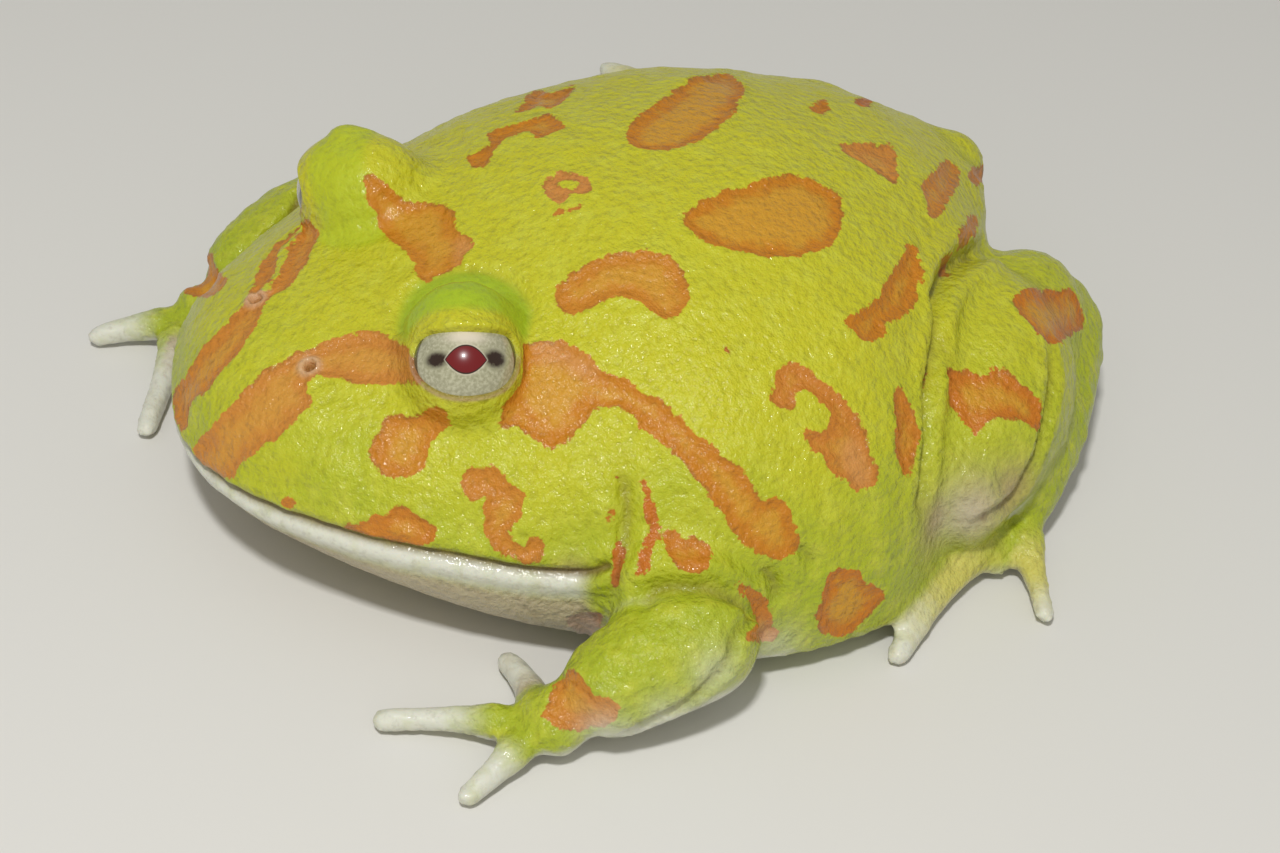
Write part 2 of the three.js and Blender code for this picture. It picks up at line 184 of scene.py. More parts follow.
# Mouth line from the snout to the near corner, in pixels
MOUTH = [(187, 431), (201, 463), (225, 482), (251, 498), (287, 513), (341, 531), (394, 545), (458, 557),
         (530, 570), (585, 573), (607, 566)]
# How far below the mouth its colours reach, the nostrils in pixels, and the radius of their raised rings
JAW_DEPTH = 14.0
NOSTRILS = [(309, 365.5), (256, 299)]
NOSTRIL_RING = 0.95

# Creases and folds, in pixels, each with its depth and half width in mm
CREASES = [
    (0.8, 0.9, [(624, 475), (627, 514), (623, 553), (610, 600)]),
    (1.3, 1.1, [(644, 599), (656, 589), (683, 586), (717, 589), (741, 600), (755, 615)]),
    (0.8, 0.9, [(763, 567), (775, 584), (775, 600)]),
    (0.25, 1.2, [(586, 463), (620, 456), (634, 441)]),
    (0.45, 0.8, [(399, 338), (403, 311), (417, 289), (440, 276), (468, 271), (497, 276), (518, 291),
                 (532, 312), (536, 338)]),
    (0.6, 0.9, [(798, 545), (817, 564)]),
    (0.5, 0.7, [(513, 396), (524, 380), (537, 359)]),
    (1.6, 1.0, [(937, 303), (938, 340), (929, 387), (928, 430), (924, 473), (921, 508)]),
    (2.0, 1.2, [(984, 248), (968, 255), (954, 267), (943, 284), (937, 303)]),
    (0.5, 0.7, [(944, 330), (947, 372), (955, 415)]),
    (0.9, 0.8, [(1052, 343), (1053, 384), (1044, 431), (1032, 466), (1012, 499), (977, 525)]),
    (0.7, 0.7, [(753, 611), (733, 640), (728, 662), (690, 701), (641, 725), (600, 751)]),
]

# Markings: name, redness, pinkness, outline in the photograph's pixels
PATCHES = [
    ("near snout stripe", 0.15, 0.45, [
        (298, 354), (273, 366), (251, 386), (230, 407), (210, 431), (200, 441), (199, 456), (212, 472),
        (226, 479), (237, 477), (243, 463), (257, 452), (280, 438), (294, 422), (312, 406), (309, 391),
        (312, 378), (332, 377), (350, 382), (376, 386), (409, 383), (426, 381), (412, 361), (396, 340),
        (380, 335), (359, 334), (323, 343)]),
    ("far snout stripe", 0.2, 0.3, [
        (303, 220), (284, 238), (268, 255), (258, 275), (246, 302), (231, 319), (206, 347), (189, 372),
        (178, 388), (180, 415), (188, 432), (189, 419), (194, 401), (208, 392), (224, 369), (242, 349),
        (255, 328), (267, 302), (290, 286), (306, 265), (313, 251), (318, 232)]),
    ("below the eye", 0.1, 0.1, [
        (392, 416), (414, 415), (434, 407), (450, 415), (441, 434), (430, 445), (428, 459), (417, 474),
        (401, 478), (382, 472), (371, 461), (375, 436)]),
    ("lip", 0.3, 0.1, [
        (346, 527), (369, 516), (391, 511), (400, 505), (414, 511), (428, 520), (437, 534), (430, 543),
        (403, 544), (367, 534)]),
    ("lip dot", 0.2, 0.2, [(287, 502), (292, 508), (298, 502), (292, 496)]),
    ("between the eyes", 0.0, 0.1, [
        (362, 175), (372, 174), (386, 187), (396, 196), (425, 204), (443, 205), (455, 218), (458, 232),
        (472, 240), (474, 248), (466, 257), (458, 267), (441, 273), (423, 282), (415, 275), (416, 263),
        (401, 251), (384, 234), (376, 216), (366, 195)]),
    ("behind the eye", 0.1, 0.05, [
        (528, 342), (557, 342), (583, 351), (605, 373), (617, 376), (639, 388), (661, 400), (675, 412),
        (695, 431), (717, 451), (741, 468), (753, 485), (763, 499), (777, 497), (789, 509), (799, 543),
        (789, 555), (775, 560), (760, 553), (741, 541), (721, 516), (705, 490), (685, 465), (666, 446),
        (661, 441), (644, 431), (632, 417), (615, 408), (595, 410), (586, 422), (576, 436), (557, 447),
        (542, 446), (530, 434), (501, 429), (503, 407), (515, 395), (525, 376)]),
    ("cheek", 0.1, 0.2, [
        (462, 485), (464, 470), (479, 467), (498, 469), (513, 485), (526, 494), (525, 504), (518, 526),
        (508, 533), (523, 545), (530, 536), (543, 538), (546, 548), (537, 559), (511, 557), (496, 548),
        (484, 528), (485, 511), (486, 497), (472, 499)]),
    ("cheek dot", 0.3, 0.0, [(614, 477), (617, 480), (620, 477), (617, 474)]),
    ("jaw dot", 0.3, 0.0, [(605, 513), (610, 518), (615, 513), (610, 508)]),
    ("jaw streak", 0.7, 0.0, [(617, 541), (624, 545), (620, 583), (611, 582)]),
    ("neck streak", 0.7, 0.0, [
        (640, 485), (648, 484), (656, 514), (656, 540), (646, 574), (637, 571), (646, 537), (646, 514)]),
    ("shoulder", 0.3, 0.1, [
        (663, 533), (673, 528), (683, 543), (695, 536), (707, 548), (707, 567), (692, 574), (673, 565),
        (666, 550)]),
    ("kidney", 0.05, 0.15, [
        (556, 299), (558, 289), (571, 274), (583, 270), (601, 258), (620, 253), (644, 252), (666, 256),
        (681, 270), (689, 286), (688, 303), (679, 317), (666, 320), (652, 312), (640, 303), (624, 297),
        (605, 300), (591, 309), (571, 315), (560, 309)]),
    ("upper oval", 0.1, 0.0, [
        (628, 142), (627, 127), (648, 111), (666, 97), (691, 82), (720, 74), (734, 78), (746, 89),
        (740, 99), (732, 117), (720, 125), (701, 140), (677, 149), (656, 152), (636, 148)]),
    ("ring on the back", 0.4, 0.7, [
        (542, 184), (554, 174), (571, 173), (590, 180), (590, 191), (583, 195), (571, 193), (564, 203),
        (554, 203), (546, 193)]),
    ("dot by the ring", 0.4, 0.2, [(554, 212), (568, 209), (584, 205), (580, 210), (566, 214), (556, 217)]),
    ("wavy stripe", 0.1, 0.0, [
        (466, 158), (489, 146), (489, 135), (507, 127), (530, 121), (550, 115), (562, 123), (562, 130),
        (538, 139), (528, 134), (509, 138), (497, 148), (485, 166), (471, 167)]),
    ("stripe at the ridge", 0.1, 0.0, [
        (515, 113), (522, 104), (536, 91), (554, 94), (575, 85), (571, 95), (554, 108), (538, 106),
        (530, 111)]),
    ("big oval", 0.1, 0.0, [
        (682, 221), (686, 211), (700, 203), (720, 193), (750, 184), (778, 175), (798, 176), (821, 185),
        (839, 198), (842, 216), (837, 239), (821, 250), (789, 257), (759, 255), (720, 248), (697, 237)]),
    ("triangle", 0.15, 0.4, [
        (840, 146), (851, 143), (881, 145), (890, 144), (896, 159), (897, 185), (883, 177), (860, 163),
        (844, 153)]),
    ("back dot", 0.2, 0.0, [(810, 108), (824, 101), (829, 108), (824, 115), (814, 113)]),
    ("ridge dot", 0.7, 0.0, [(853, 103), (863, 99), (872, 104), (863, 108)]),
    ("rump", 0.1, 0.2, [
        (921, 182), (936, 170), (945, 161), (958, 168), (957, 184), (948, 202), (933, 221), (925, 202)]),
    ("rump edge", 0.3, 0.1, [(968, 172), (982, 166), (984, 182), (971, 185)]),
    ("rump side", 0.1, 0.0, [(973, 214), (975, 230), (964, 248), (954, 241), (961, 225)]),
    ("hip dot", 0.2, 0.1, [(948, 253), (957, 257), (956, 271), (945, 269), (938, 260)]),
    ("jagged stripe", 0.15, 0.0, [
        (911, 241), (918, 260), (919, 280), (913, 303), (906, 315), (886, 322), (884, 335), (871, 343),
        (860, 341), (852, 332), (841, 326), (860, 310), (879, 296), (886, 280), (897, 267), (904, 250)]),
    ("flank ring", 0.35, 0.25, [
        (771, 375), (778, 367), (791, 363), (804, 367), (817, 378), (828, 385), (839, 395), (850, 406),
        (856, 415), (865, 430), (869, 447), (876, 465), (876, 486), (865, 491), (852, 491), (847, 478),
        (834, 476), (826, 467), (821, 456), (808, 447), (804, 430), (824, 432), (830, 417), (821, 402),
        (804, 391), (795, 400), (793, 408), (780, 408), (769, 402), (769, 395), (776, 387)]),
    ("back speck", 0.7, 0.0, [(722, 351), (727, 356), (733, 350), (727, 346)]),
    ("upright on the flank", 0.3, 0.1, [
        (896, 387), (904, 395), (912, 415), (916, 439), (912, 460), (908, 476), (902, 476), (897, 458),
        (893, 441), (894, 417), (892, 402)]),
    ("flank speck", 0.4, 0.0, [(922, 367), (933, 367), (930, 387)]),
    ("low flank", 0.4, 0.0, [
        (826, 575), (843, 567), (856, 569), (865, 582), (884, 590), (880, 603), (865, 619), (847, 634),
        (821, 632), (815, 616), (821, 599)]),
    ("arm crease", 0.3, 0.1, [
        (739, 580), (752, 588), (769, 603), (771, 621), (780, 632), (765, 640), (743, 640), (756, 621),
        (750, 603), (737, 588)]),
    ("throat", 0.5, 0.0, [(566, 618), (583, 611), (602, 612), (602, 623), (590, 635), (573, 628)]),
    ("forearm", 0.1, 0.2, [
        (566, 674), (576, 671), (588, 684), (598, 696), (614, 698), (619, 708), (610, 722), (593, 727),
        (568, 730), (549, 722), (542, 715), (547, 701), (556, 686)]),
    ("leg above", 0.5, 0.0, [
        (1012, 299), (1030, 290), (1044, 292), (1068, 290), (1076, 299), (1084, 323), (1071, 334),
        (1053, 345), (1041, 337), (1027, 323), (1018, 311)]),
    ("leg below", 0.5, 0.0, [
        (944, 370), (965, 372), (983, 375), (997, 365), (1012, 378), (1032, 393), (1040, 414), (1038, 431),
        (1024, 425), (1006, 419), (988, 422), (977, 436), (965, 425), (953, 408), (947, 387)]),
    ("far forearm", 0.1, 0.1, [
        (189, 265), (199, 256), (210, 252), (217, 263), (221, 274), (228, 281), (215, 295), (201, 299),
        (187, 294), (183, 283)]),
]
# Markings that the far side repeats, mirrored, where the photograph doesn't show it
MIRRORED = ["behind the eye", "cheek", "below the eye", "lip", "shoulder", "flank ring",
            "upright on the flank", "low flank", "jagged stripe", "leg above", "leg below", "rump",
            "rump side", "big oval", "kidney"]
# Pinker parts inside the markings, and green gaps in them, in pixels
PINK_PARTS = [
    [(547, 339), (581, 356), (600, 368), (586, 378), (564, 368), (549, 351)],
    [(454, 240), (466, 239), (476, 246), (466, 257), (457, 265)],
    [(840, 450), (856, 436), (872, 470), (868, 488), (852, 486)],
]
GREEN_GAPS = [
    [(262, 290), (274, 275), (280, 251), (292, 234), (288, 250), (282, 270), (270, 288)],
    [(557, 184), (574, 181), (580, 186), (566, 189)],
]
# How far from its outline a marking's depth is measured. A mirrored one shows only where the skin faces
# away from the camera by more than a margin, and may get this much deeper for each unit of facing past it
PATCH_REACH = 6.0
MIRROR_MARGIN = 0.08
MIRROR_DEPTH = 14.0

# Sections of the mouth and the nostrils as sums of bells: height, distance from the line, half width in mm
MOUTH_SECTION = [(-0.75, 0.0, 0.55), (0.45, 1.6, 1.1)]
NOSTRIL_SECTION = [(0.35, NOSTRIL_RING, 0.4), (-1.1, 0.0, 0.55)]
# The same for a crease of depth 1 and half width 1, how far it reaches, and how its depth falls off towards
# its ends, by which part of its size they are from its middle
CREASE_SECTION = [(0.35, 2.2, 1.0), (-1.0, 0.0, 1.0)]
CREASE_REACH = 6.0
CREASE_ENDS = (0.35, 0.55)
CREASE_LOSS = 0.7
# Warts: height and spacing in mm, and the salt of their scatter
FINE_WARTS = (0.16, 2.1, 3)
FLANK_WARTS = (0.34, 3.1, 11)
LUMPS = (0.45, 7.5, 23)
# How far the markings are sunk, and the height, place and half width of the low rim round them
PATCH_SUNK = 0.28
PATCH_RIM = (0.16, 0.2, 0.55)
# How many triangles a piece may have, and how far round the eyes' openings, the nostrils and the mouth the
# skin's are split
MOST_TRIANGLES = 200000
FINE_ROUND_EYE = 2.2
FINE_ROUND_NOSTRIL = 2.6
FINE_ROUND_MOUTH = 2.0
# How far left of the middle the mouth is read before it is mirrored
MOUTH_MIDDLE = 3

# Where each shape or tint comes on, from nothing to full, in mm unless it says otherwise
RAMPS = {
    "off a limb": (0.5, 2.5),
    "off a digit": (0.3, 2.2),
    "off the arms": (0, 1.5),
    "upper lid": (0, 2.5),
    "not the lower lid": (0, 2),
    "lid's wall": (-0.05, 0.3),
    "lid's dome": (-1.2, 0.8),
    "above the opening": (1.2, 3),
    "ahead of the arms": (9, 17),
    "lip": (-0.2, 0.6),
    "below the lip": (2, 4.5),
    "jaw": (1.5, 4.5),
    "pink part": (-1.2, 1.2),
    "finger, share of its length": (0.05, 0.55),
    "toe, share of its length": (0.5, 1.0),
    "toe's cream, share of its length": (0, 0.4),
    "facing down, cosine": (0.0, 0.5),
    "off the floor": (0.5, 3.5),
    "behind the throat": (-18, -12),
    "beside the throat": (27, 33),
    "above the throat": (3, 9),
    "flank": (0.5, 4),
    "above the flank": (10, 30),
    "lumpy": (8, 18),
    "calm, strength of its tint": (0.3, 0.8),
    "sunk": (0.1, 0.9),
    "rim of the iris": (5.6, 6.3),
}

# Soft tints round a place: attribute, pixel, radius in mm, strength. The first is a real dark brown spot in
# the creases' brown; the flesh tints are pinkish brown that is partly painted shade
TINTS = [
    ("crease_shade_and_spot", (985, 518), 0.9, 0.9),
    ("pale", (968, 515), 4.0, 0.35),
    ("flesh_and_shade", (975, 512), 4.5, 0.75),
    ("flesh_and_shade", (1010, 492), 4.0, 0.7),
    ("flesh_and_shade", (935, 520), 3.5, 0.7),
    ("pale", (715, 675), 3.0, 0.5),
    ("pale", (665, 715), 3.0, 0.6),
    ("pale", (610, 745), 3.0, 0.7),
    ("pale", (775, 660), 3.5, 0.5),
    ("flesh_and_shade", (520, 600), 2.0, 0.8),
    ("flesh_and_shade", (548, 585), 2.0, 0.6),
    ("flesh_and_shade", (572, 572), 2.0, 0.5),
    ("flesh_and_shade", (330, 563), 4.0, 0.5),
    ("flesh_and_shade", (400, 590), 4.0, 0.5),
]


def camera_axes(azimuth, elevation, roll):
    """The camera's right, up and backward directions. Backward points from the target to the camera, at an
    azimuth round Z from straight ahead of the frog and an elevation above the floor. Right and up turn by
    the roll."""
    az, el, turn = math.radians(azimuth), math.radians(elevation), math.radians(roll)
    backward = np.array([math.sin(az) * math.cos(el), -math.cos(az) * math.cos(el), math.sin(el)])
    level = np.cross(-backward, (0.0, 0.0, 1.0))
    level /= np.linalg.norm(level)
    steep = np.cross(level, -backward)
    right = math.cos(turn) * level + math.sin(turn) * steep
    up = -math.sin(turn) * level + math.cos(turn) * steep
    return right, up, backward


VIEW_RIGHT, VIEW_UP, VIEW_BACK = camera_axes(CAMERA_AZIMUTH, CAMERA_ELEVATION, CAMERA_ROLL)
CAMERA_PLACE = CAMERA_TARGET + VIEW_BACK * CAMERA_DISTANCE


def unit_rows(vectors):
    """Each row divided by its length."""
    return vectors / np.linalg.norm(vectors, axis=1, keepdims=True)


def circle(count):
    """Angles of evenly spaced places round a circle, the first not repeated at the end."""
    return np.linspace(0, 2 * math.pi, count, endpoint=False)


def to_pixels(points):
    """Where points fall in the photograph: offsets along right and up over depth, times the focal length."""
    offset = points - CAMERA_PLACE
    depth = -(offset @ VIEW_BACK)
    across = PHOTO_WIDTH / 2 + FOCAL_PIXELS * (offset @ VIEW_RIGHT) / depth
    down = PHOTO_HEIGHT / 2 - FOCAL_PIXELS * (offset @ VIEW_UP) / depth
    return np.stack([across, down], -1)


def pixel_rays(pixels):
    """Unit directions from the camera through pixels: the focal length forward, offsets right and up."""
    pixels = np.asarray(pixels, float)
    across = (pixels[:, :1] - PHOTO_WIDTH / 2) / FOCAL_PIXELS
    down = (pixels[:, 1:] - PHOTO_HEIGHT / 2) / FOCAL_PIXELS
    return unit_rows(across * VIEW_RIGHT - down * VIEW_UP - VIEW_BACK)


def smoothstep(value, low, high):
    """0 below low, 1 above high and the cubic 3t^2 - 2t^3 between."""
    t = np.clip((value - low) / (high - low), 0, 1)
    return t * t * (3 - 2 * t)


def ramp(name, value):
    """Smooth step between the two values that the ramp has by name."""
    return smoothstep(value, *RAMPS[name])


def bell(value, width):
    """Gauss bell of height 1 and the given width."""
    return np.exp(-(value / width) ** 2)


def section(away, bells):
    """Height over a line at a distance from it: the sum of bells by height, place and half width."""
    return sum(height * bell(away - place, width) for height, place, width in bells)


def add_mark(marks, name, strength):
    """Raises a mark to the given strength where it is weaker."""
    marks[name] = np.maximum(marks[name], strength)


def along_stations(x, xs, values):
    """Cubic through the stations, with slopes averaged from both sides and level where the values turn."""
    step = np.diff(xs)
    slope = np.diff(values) / step
    tangent = np.empty_like(values)
    tangent[0], tangent[-1] = slope[0], slope[-1]
    tangent[1:-1] = (slope[:-1] * step[1:] + slope[1:] * step[:-1]) / (step[1:] + step[:-1])
    tangent[1:-1][slope[:-1] * slope[1:] <= 0] = 0
    k = np.clip(np.searchsorted(xs, x, side="right") - 1, 0, len(xs) - 2)
    t = np.clip((x - xs[k]) / step[k], 0, 1)
    return (values[k] * (2 * t**3 - 3 * t**2 + 1) + tangent[k] * step[k] * (t**3 - 2 * t**2 + t)
            + values[k + 1] * (3 * t**2 - 2 * t**3) + tangent[k + 1] * step[k] * (t**3 - t**2))


def body_grid(rings=180, sides=160):
    """Body: at each y the ring is x = offset + W cos^(2/n), z = widest + H sin^(2/n), kept above the floor.
    W and H are square roots of smooth curves through the stations' squares, so both tips close round."""
    inset = 0.02
    turn = math.pi * (inset + (1 - 2 * inset) * np.linspace(0, 1, rings)[:, None])
    y = BODY_Y[0] + (BODY_Y[-1] - BODY_Y[0]) * (1 - np.cos(turn)) / 2
    angle = circle(sides)[None, :]
    rise = (BODY_TOP - BODY_WIDEST) ** 2
    drop = (BODY_WIDEST - BODY_LOW) ** 2
    rise[[0, -1]] = 0
    drop[[0, -1]] = 0
    width = np.sqrt(np.maximum(along_stations(y, BODY_Y, BODY_WIDTH**2), 0))
    upper = np.sqrt(np.maximum(along_stations(y, BODY_Y, rise), 0))
    lower = np.sqrt(np.maximum(along_stations(y, BODY_Y, drop), 0))
    above = np.sin(angle) >= 0
    power = 2 / np.where(above, along_stations(y, BODY_Y, BODY_ROUND_UP),
                         along_stations(y, BODY_Y, BODY_ROUND_LOW))
    cosine = np.sign(np.cos(angle)) * np.abs(np.cos(angle)) ** power
    sine = np.sign(np.sin(angle)) * np.abs(np.sin(angle)) ** power
    x = along_stations(y, BODY_Y, BODY_OFFSET) + width * cosine
    z = along_stations(y, BODY_Y, BODY_WIDEST) + np.where(above, upper, lower) * sine
    return np.stack([x, y + 0 * angle, np.maximum(z, 0)], -1)


def spline(points, share):
    """Smooth curve through points: on each span, the cubic with slopes half the step between neighbours."""
    points = np.asarray(points, float)
    last = len(points) - 1
    place = np.clip(share * last, 0, last - 1e-9)
    k = place.astype(int)
    t = (place - k)[:, None]
    padded = np.vstack([2 * points[0] - points[1], points, 2 * points[-1] - points[-2]])
    a, b, c, d = padded[k], padded[k + 1], padded[k + 2], padded[k + 3]
    return 0.5 * (2 * b + (c - a) * t + (2 * a - 5 * b + 4 * c - d) * t**2 + (3 * b - a - 3 * c + d) * t**3)


def tube_grid(through, radii, flat, rings=40, sides=32):
    """Limb: circles along a spline, radius between the given ones and closed at both ends as half balls,
    height scaled by flat, kept above the floor."""
    inset = 0.04
    share = (1 - np.cos(math.pi * np.linspace(inset, 1 - inset, rings))) / 2
    centre = spline(through, share)
    fine = spline(through, np.linspace(0, 1, 200))
    length = np.linalg.norm(np.diff(fine, axis=0), axis=1).sum()
    along = unit_rows(np.gradient(centre, axis=0))
    sideways = unit_rows(np.cross(along, (0.0, 0.0, 1.0)))
    up = np.cross(sideways, along)
    girth = np.interp(share, np.linspace(0, 1, len(radii)), radii)
    from_start = np.clip(share * length / radii[0], 0, 1)
    from_end = np.clip((1 - share) * length / radii[-1], 0, 1)
    radius = (girth * np.sqrt(1 - (1 - from_start) ** 2) * np.sqrt(1 - (1 - from_end) ** 2))[:, None, None]
    angle = circle(sides)[None, :, None]
    grid = centre[:, None] + radius * (np.cos(angle) * sideways[:, None] + flat * np.sin(angle) * up[:, None])
    grid[..., 2] = np.maximum(grid[..., 2], 0)
    return grid


def ball_grid(centre, radii, rings=40, sides=48):
    """Ellipsoid: rings from pole to pole, x and y by the sine of the polar angle, z by its cosine."""
    inset = 0.03
    polar = np.linspace(inset, math.pi - inset, rings)[:, None]
    angle = circle(sides)[None, :]
    level = np.sin(polar)
    unit = np.stack([level * np.cos(angle), level * np.sin(angle), np.cos(polar) + 0 * angle], -1)
    return np.asarray(centre, float) + unit * np.asarray(radii, float)


def grid_faces(rings, sides, first):
    """Quads between neighbouring rings, which close on themselves, and a flat cap on each end."""
    ring = np.arange(rings - 1)[:, None] * sides
    side = np.arange(sides)[None, :]
    following = (side + 1) % sides
    quads = np.stack([ring + side, ring + following, ring + sides + following, ring + sides + side], -1)
    last = first + (rings - 1) * sides
    caps = [list(range(first, first + sides))[::-1], list(range(last, last + sides))]
    return (quads.reshape(-1, 4) + first).tolist() + caps


def make_mesh(name, points, faces):
    """Mesh in metres from points in millimetres."""
    mesh = bpy.data.meshes.new(name)
    mesh.from_pydata(np.asarray(points * MM), [], faces)
    mesh.update()
    return mesh


def make_piece(name, mesh):
    """Object with the given mesh, at the origin."""
    piece = bpy.data.objects.new(name, mesh)
    bpy.context.scene.collection.objects.link(piece)
    return piece


def mesh_arrays(mesh):
    """A mesh's points in millimetres and its triangles."""
    mesh.calc_loop_triangles()
    points = np.empty(len(mesh.vertices) * 3)
    mesh.vertices.foreach_get("co", points)
    triangles = np.empty(len(mesh.loop_triangles) * 3, np.int32)
    mesh.loop_triangles.foreach_get("vertices", triangles)
    return points.reshape(-1, 3) / MM, triangles.reshape(-1, 3)


def fuse(grids, voxel):
    """One closed surface round several overlapping closed grids, remeshed on cubes of the voxel's size."""
    points, faces, first = [], [], 0
    for grid in grids:
        rings, sides = grid.shape[:2]
        points.append(grid.reshape(-1, 3))
        faces += grid_faces(rings, sides, first)
        first += rings * sides
    piece = make_piece("fused", make_mesh("fused", np.vstack(points), faces))
    remesh = piece.modifiers.new("Remesh", "REMESH")
    remesh.mode = "VOXEL"
    remesh.voxel_size = voxel
    evaluated = piece.evaluated_get(bpy.context.evaluated_depsgraph_get())
    result = bpy.data.meshes.new_from_object(evaluated)
    arrays = mesh_arrays(result)
    bpy.data.meshes.remove(result)
    bpy.data.objects.remove(piece)
    return arrays


def edges_of(triangles, count):
    """Each edge once, as pairs of point numbers, with the edge number of each triangle's three sides."""
    sides = np.sort(triangles[:, [[0, 1], [1, 2], [2, 0]]].reshape(-1, 2).astype(np.int64), axis=1)
    keys, place = np.unique(sides[:, 0] * count + sides[:, 1], return_inverse=True)
    return np.stack([keys // count, keys % count], 1), place.reshape(-1, 3)


def normals_of(points, triangles):
    """Unit normal at each point: the sum of its triangles' normals, each as long as twice the area."""
    corners = points[triangles]
    flat = np.cross(corners[:, 1] - corners[:, 0], corners[:, 2] - corners[:, 0])
    total = np.stack([np.bincount(triangles.ravel(), np.repeat(flat[:, k], 3), len(points))
                      for k in range(3)], 1)
    return total / np.maximum(np.linalg.norm(total, axis=1, keepdims=True), TINY)


def neighbour_mean(points, edges):
    """Mean of each point's neighbours."""
    ends = np.concatenate([edges[:, 0], edges[:, 1]])
    others = np.concatenate([edges[:, 1], edges[:, 0]])
    share = np.bincount(ends, minlength=len(points))
    total = np.stack([np.bincount(ends, points[others, k], len(points)) for k in range(points.shape[1])], 1)
    return total / share[:, None]


def relax(points, triangles, rounds, fill, ease):
    """Moves each point towards its neighbours' mean, by fill where that lies outside the skin, so that
    creases between limbs and body close up, and by ease where it lies inside. Both may be arrays."""
    edges, _ = edges_of(triangles, len(points))
    for _ in range(rounds):
        move = neighbour_mean(points, edges) - points
        outward = (move * normals_of(points, triangles)).sum(1) > 0
        points = points + move * np.where(outward, fill, ease)[:, None]
    return points


# How a triangle is split, by which of its sides 01, 12 and 20 have a point in the middle, as the sum of
# 1, 2 and 4 for them. The middle points have the numbers 3, 4 and 5
SPLITS = {
    0: [(0, 1, 2)],
    1: [(0, 3, 2), (3, 1, 2)],
    2: [(0, 1, 4), (0, 4, 2)],
    3: [(3, 1, 4), (0, 3, 4), (0, 4, 2)],
    4: [(0, 1, 5), (5, 1, 2)],
    5: [(0, 3, 5), (3, 1, 2), (3, 2, 5)],
    6: [(4, 2, 5), (0, 1, 4), (0, 4, 5)],
    7: [(0, 3, 5), (3, 1, 4), (5, 4, 2), (3, 4, 5)],
}


def refine(points, triangles, wanted):
    """Splits each edge with both ends wanted at its middle, and the triangles beside it into 2, 3 or 4."""
    edges, place = edges_of(triangles, len(points))
    split = wanted[edges].all(1)
    middle = np.full(len(edges), -1)
    middle[split] = len(points) + np.arange(split.sum())
    middles = middle[place]
    pattern = (middles >= 0) @ np.array([1, 2, 4])
    corners = np.hstack([triangles, middles])
    pieces = [corners[pattern == k][:, np.array(split_by)].reshape(-1, 3) for k, split_by in SPLITS.items()]
    return np.vstack([points, points[edges[split]].mean(1)]), np.vstack(pieces)


def from_line(points, line, reach):
    """Distance of each point from a chain of straight pieces, and the nearest place on it. Points further
    than reach from the chain's box keep that reach."""
    distance = np.full(len(points), float(reach))
    foot = np.zeros((len(points), 3))
    near = ((points > line.min(0) - reach) & (points < line.max(0) + reach)).all(1)
    some = points[near]
    best = np.full(len(some), float(reach))
    place = np.zeros_like(some)
    for start, end in zip(line[:-1], line[1:]):
        step = end - start
        t = np.clip((some - start) @ step / max(step @ step, TINY_STEP), 0, 1)[:, None]
        spot = start + t * step
        away = np.linalg.norm(some - spot, axis=1)
        closer = away < best
        best[closer] = away[closer]
        place[closer] = spot[closer]
    distance[near] = best
    foot[near] = place
    return distance, foot


def inside_outline(places, outline):
    """Whether flat places lie inside an outline: a ray to the side crosses its edges an odd number of
    times."""
    odd = np.zeros(len(places), bool)
    for (ax, ay), (bx, by) in zip(outline, np.roll(outline, -1, axis=0)):
        spans = (ay > places[:, 1]) != (by > places[:, 1])
        rise = by - ay if by != ay else TINY_STEP
        odd ^= spans & (places[:, 0] < (bx - ax) * (places[:, 1] - ay) / rise + ax)
    return odd


def rounded(outline, closed=True, steps=4):
    """A smooth curve through given points, as a finer chain."""
    outline = np.asarray(outline, float)
    if not closed:
        return spline(outline, np.linspace(0, 1, steps * (len(outline) - 1) + 1))
    around = np.vstack([outline[-2:], outline, outline[:3]])
    share = np.linspace(2, len(outline) + 2, steps * len(outline), endpoint=False) / (len(around) - 1)
    return spline(around, share)


# How far a ray that misses is moved in, step by step, as a share of the way, and how squarely the skin
# has to face the camera to take a marking
PULLS = np.linspace(0, 0.9, 25)
FACING_LIMIT = -0.2


class Surface:
    """The frog's skin before markings and folds are placed on it."""

    def __init__(self, points, triangles):
        self.points = points
        self.normals = normals_of(points, triangles)
        self.tree = BVHTree.FromPolygons(points.tolist(), triangles.tolist())

    def cast(self, pixels, side=1):
        """Where the camera's rays through pixels meet the skin. A ray that misses is moved in towards the
        middle of the pixels until it meets. On side -1 the rays are mirrored, and meet the frog's other
        side."""
        pixels = np.asarray(pixels, float)
        middle = pixels.mean(0) if len(pixels) > 1 else np.array([PHOTO_WIDTH, PHOTO_HEIGHT]) / 2
        mirror = np.array([side, 1, 1])
        origin = Vector(CAMERA_PLACE * mirror)
        found = []
        for pixel in pixels:
            for pull in PULLS:
                ray = pixel_rays([pixel + (middle - pixel) * pull])[0] * mirror
                hit = self.tree.ray_cast(origin, Vector(ray))[0]
                if hit is not None:
                    found.append(np.array(hit))
                    break
        return np.array(found)

    def facing(self, side=1):
        """How squarely the skin faces the camera, or the mirrored camera: 1 straight, 0 edge on, -1 away."""
        to_camera = unit_rows(CAMERA_PLACE * np.array([side, 1, 1]) - self.points)
        return (self.normals * to_camera).sum(1)

    def depth_in(self, outline, side=1):
        """How far each point lies inside an outline read in pixels, in mm over the skin, negative outside."""
        line = rounded(outline)
        mirror = np.array([side, 1, 1])
        chain = self.cast(line, side)
        distance, _ = from_line(self.points, np.vstack([chain, chain[:1]]), PATCH_REACH)
        near = distance < PATCH_REACH
        from_middle = np.linalg.norm(self.points - chain.mean(0), axis=1)
        near |= from_middle < np.linalg.norm(np.ptp(chain, axis=0)) / 2
        within = np.zeros(len(self.points), bool)
        within[near] = inside_outline(to_pixels(self.points[near] * mirror), line)
        within &= self.facing(side) > FACING_LIMIT
        return np.where(within, distance, -distance)


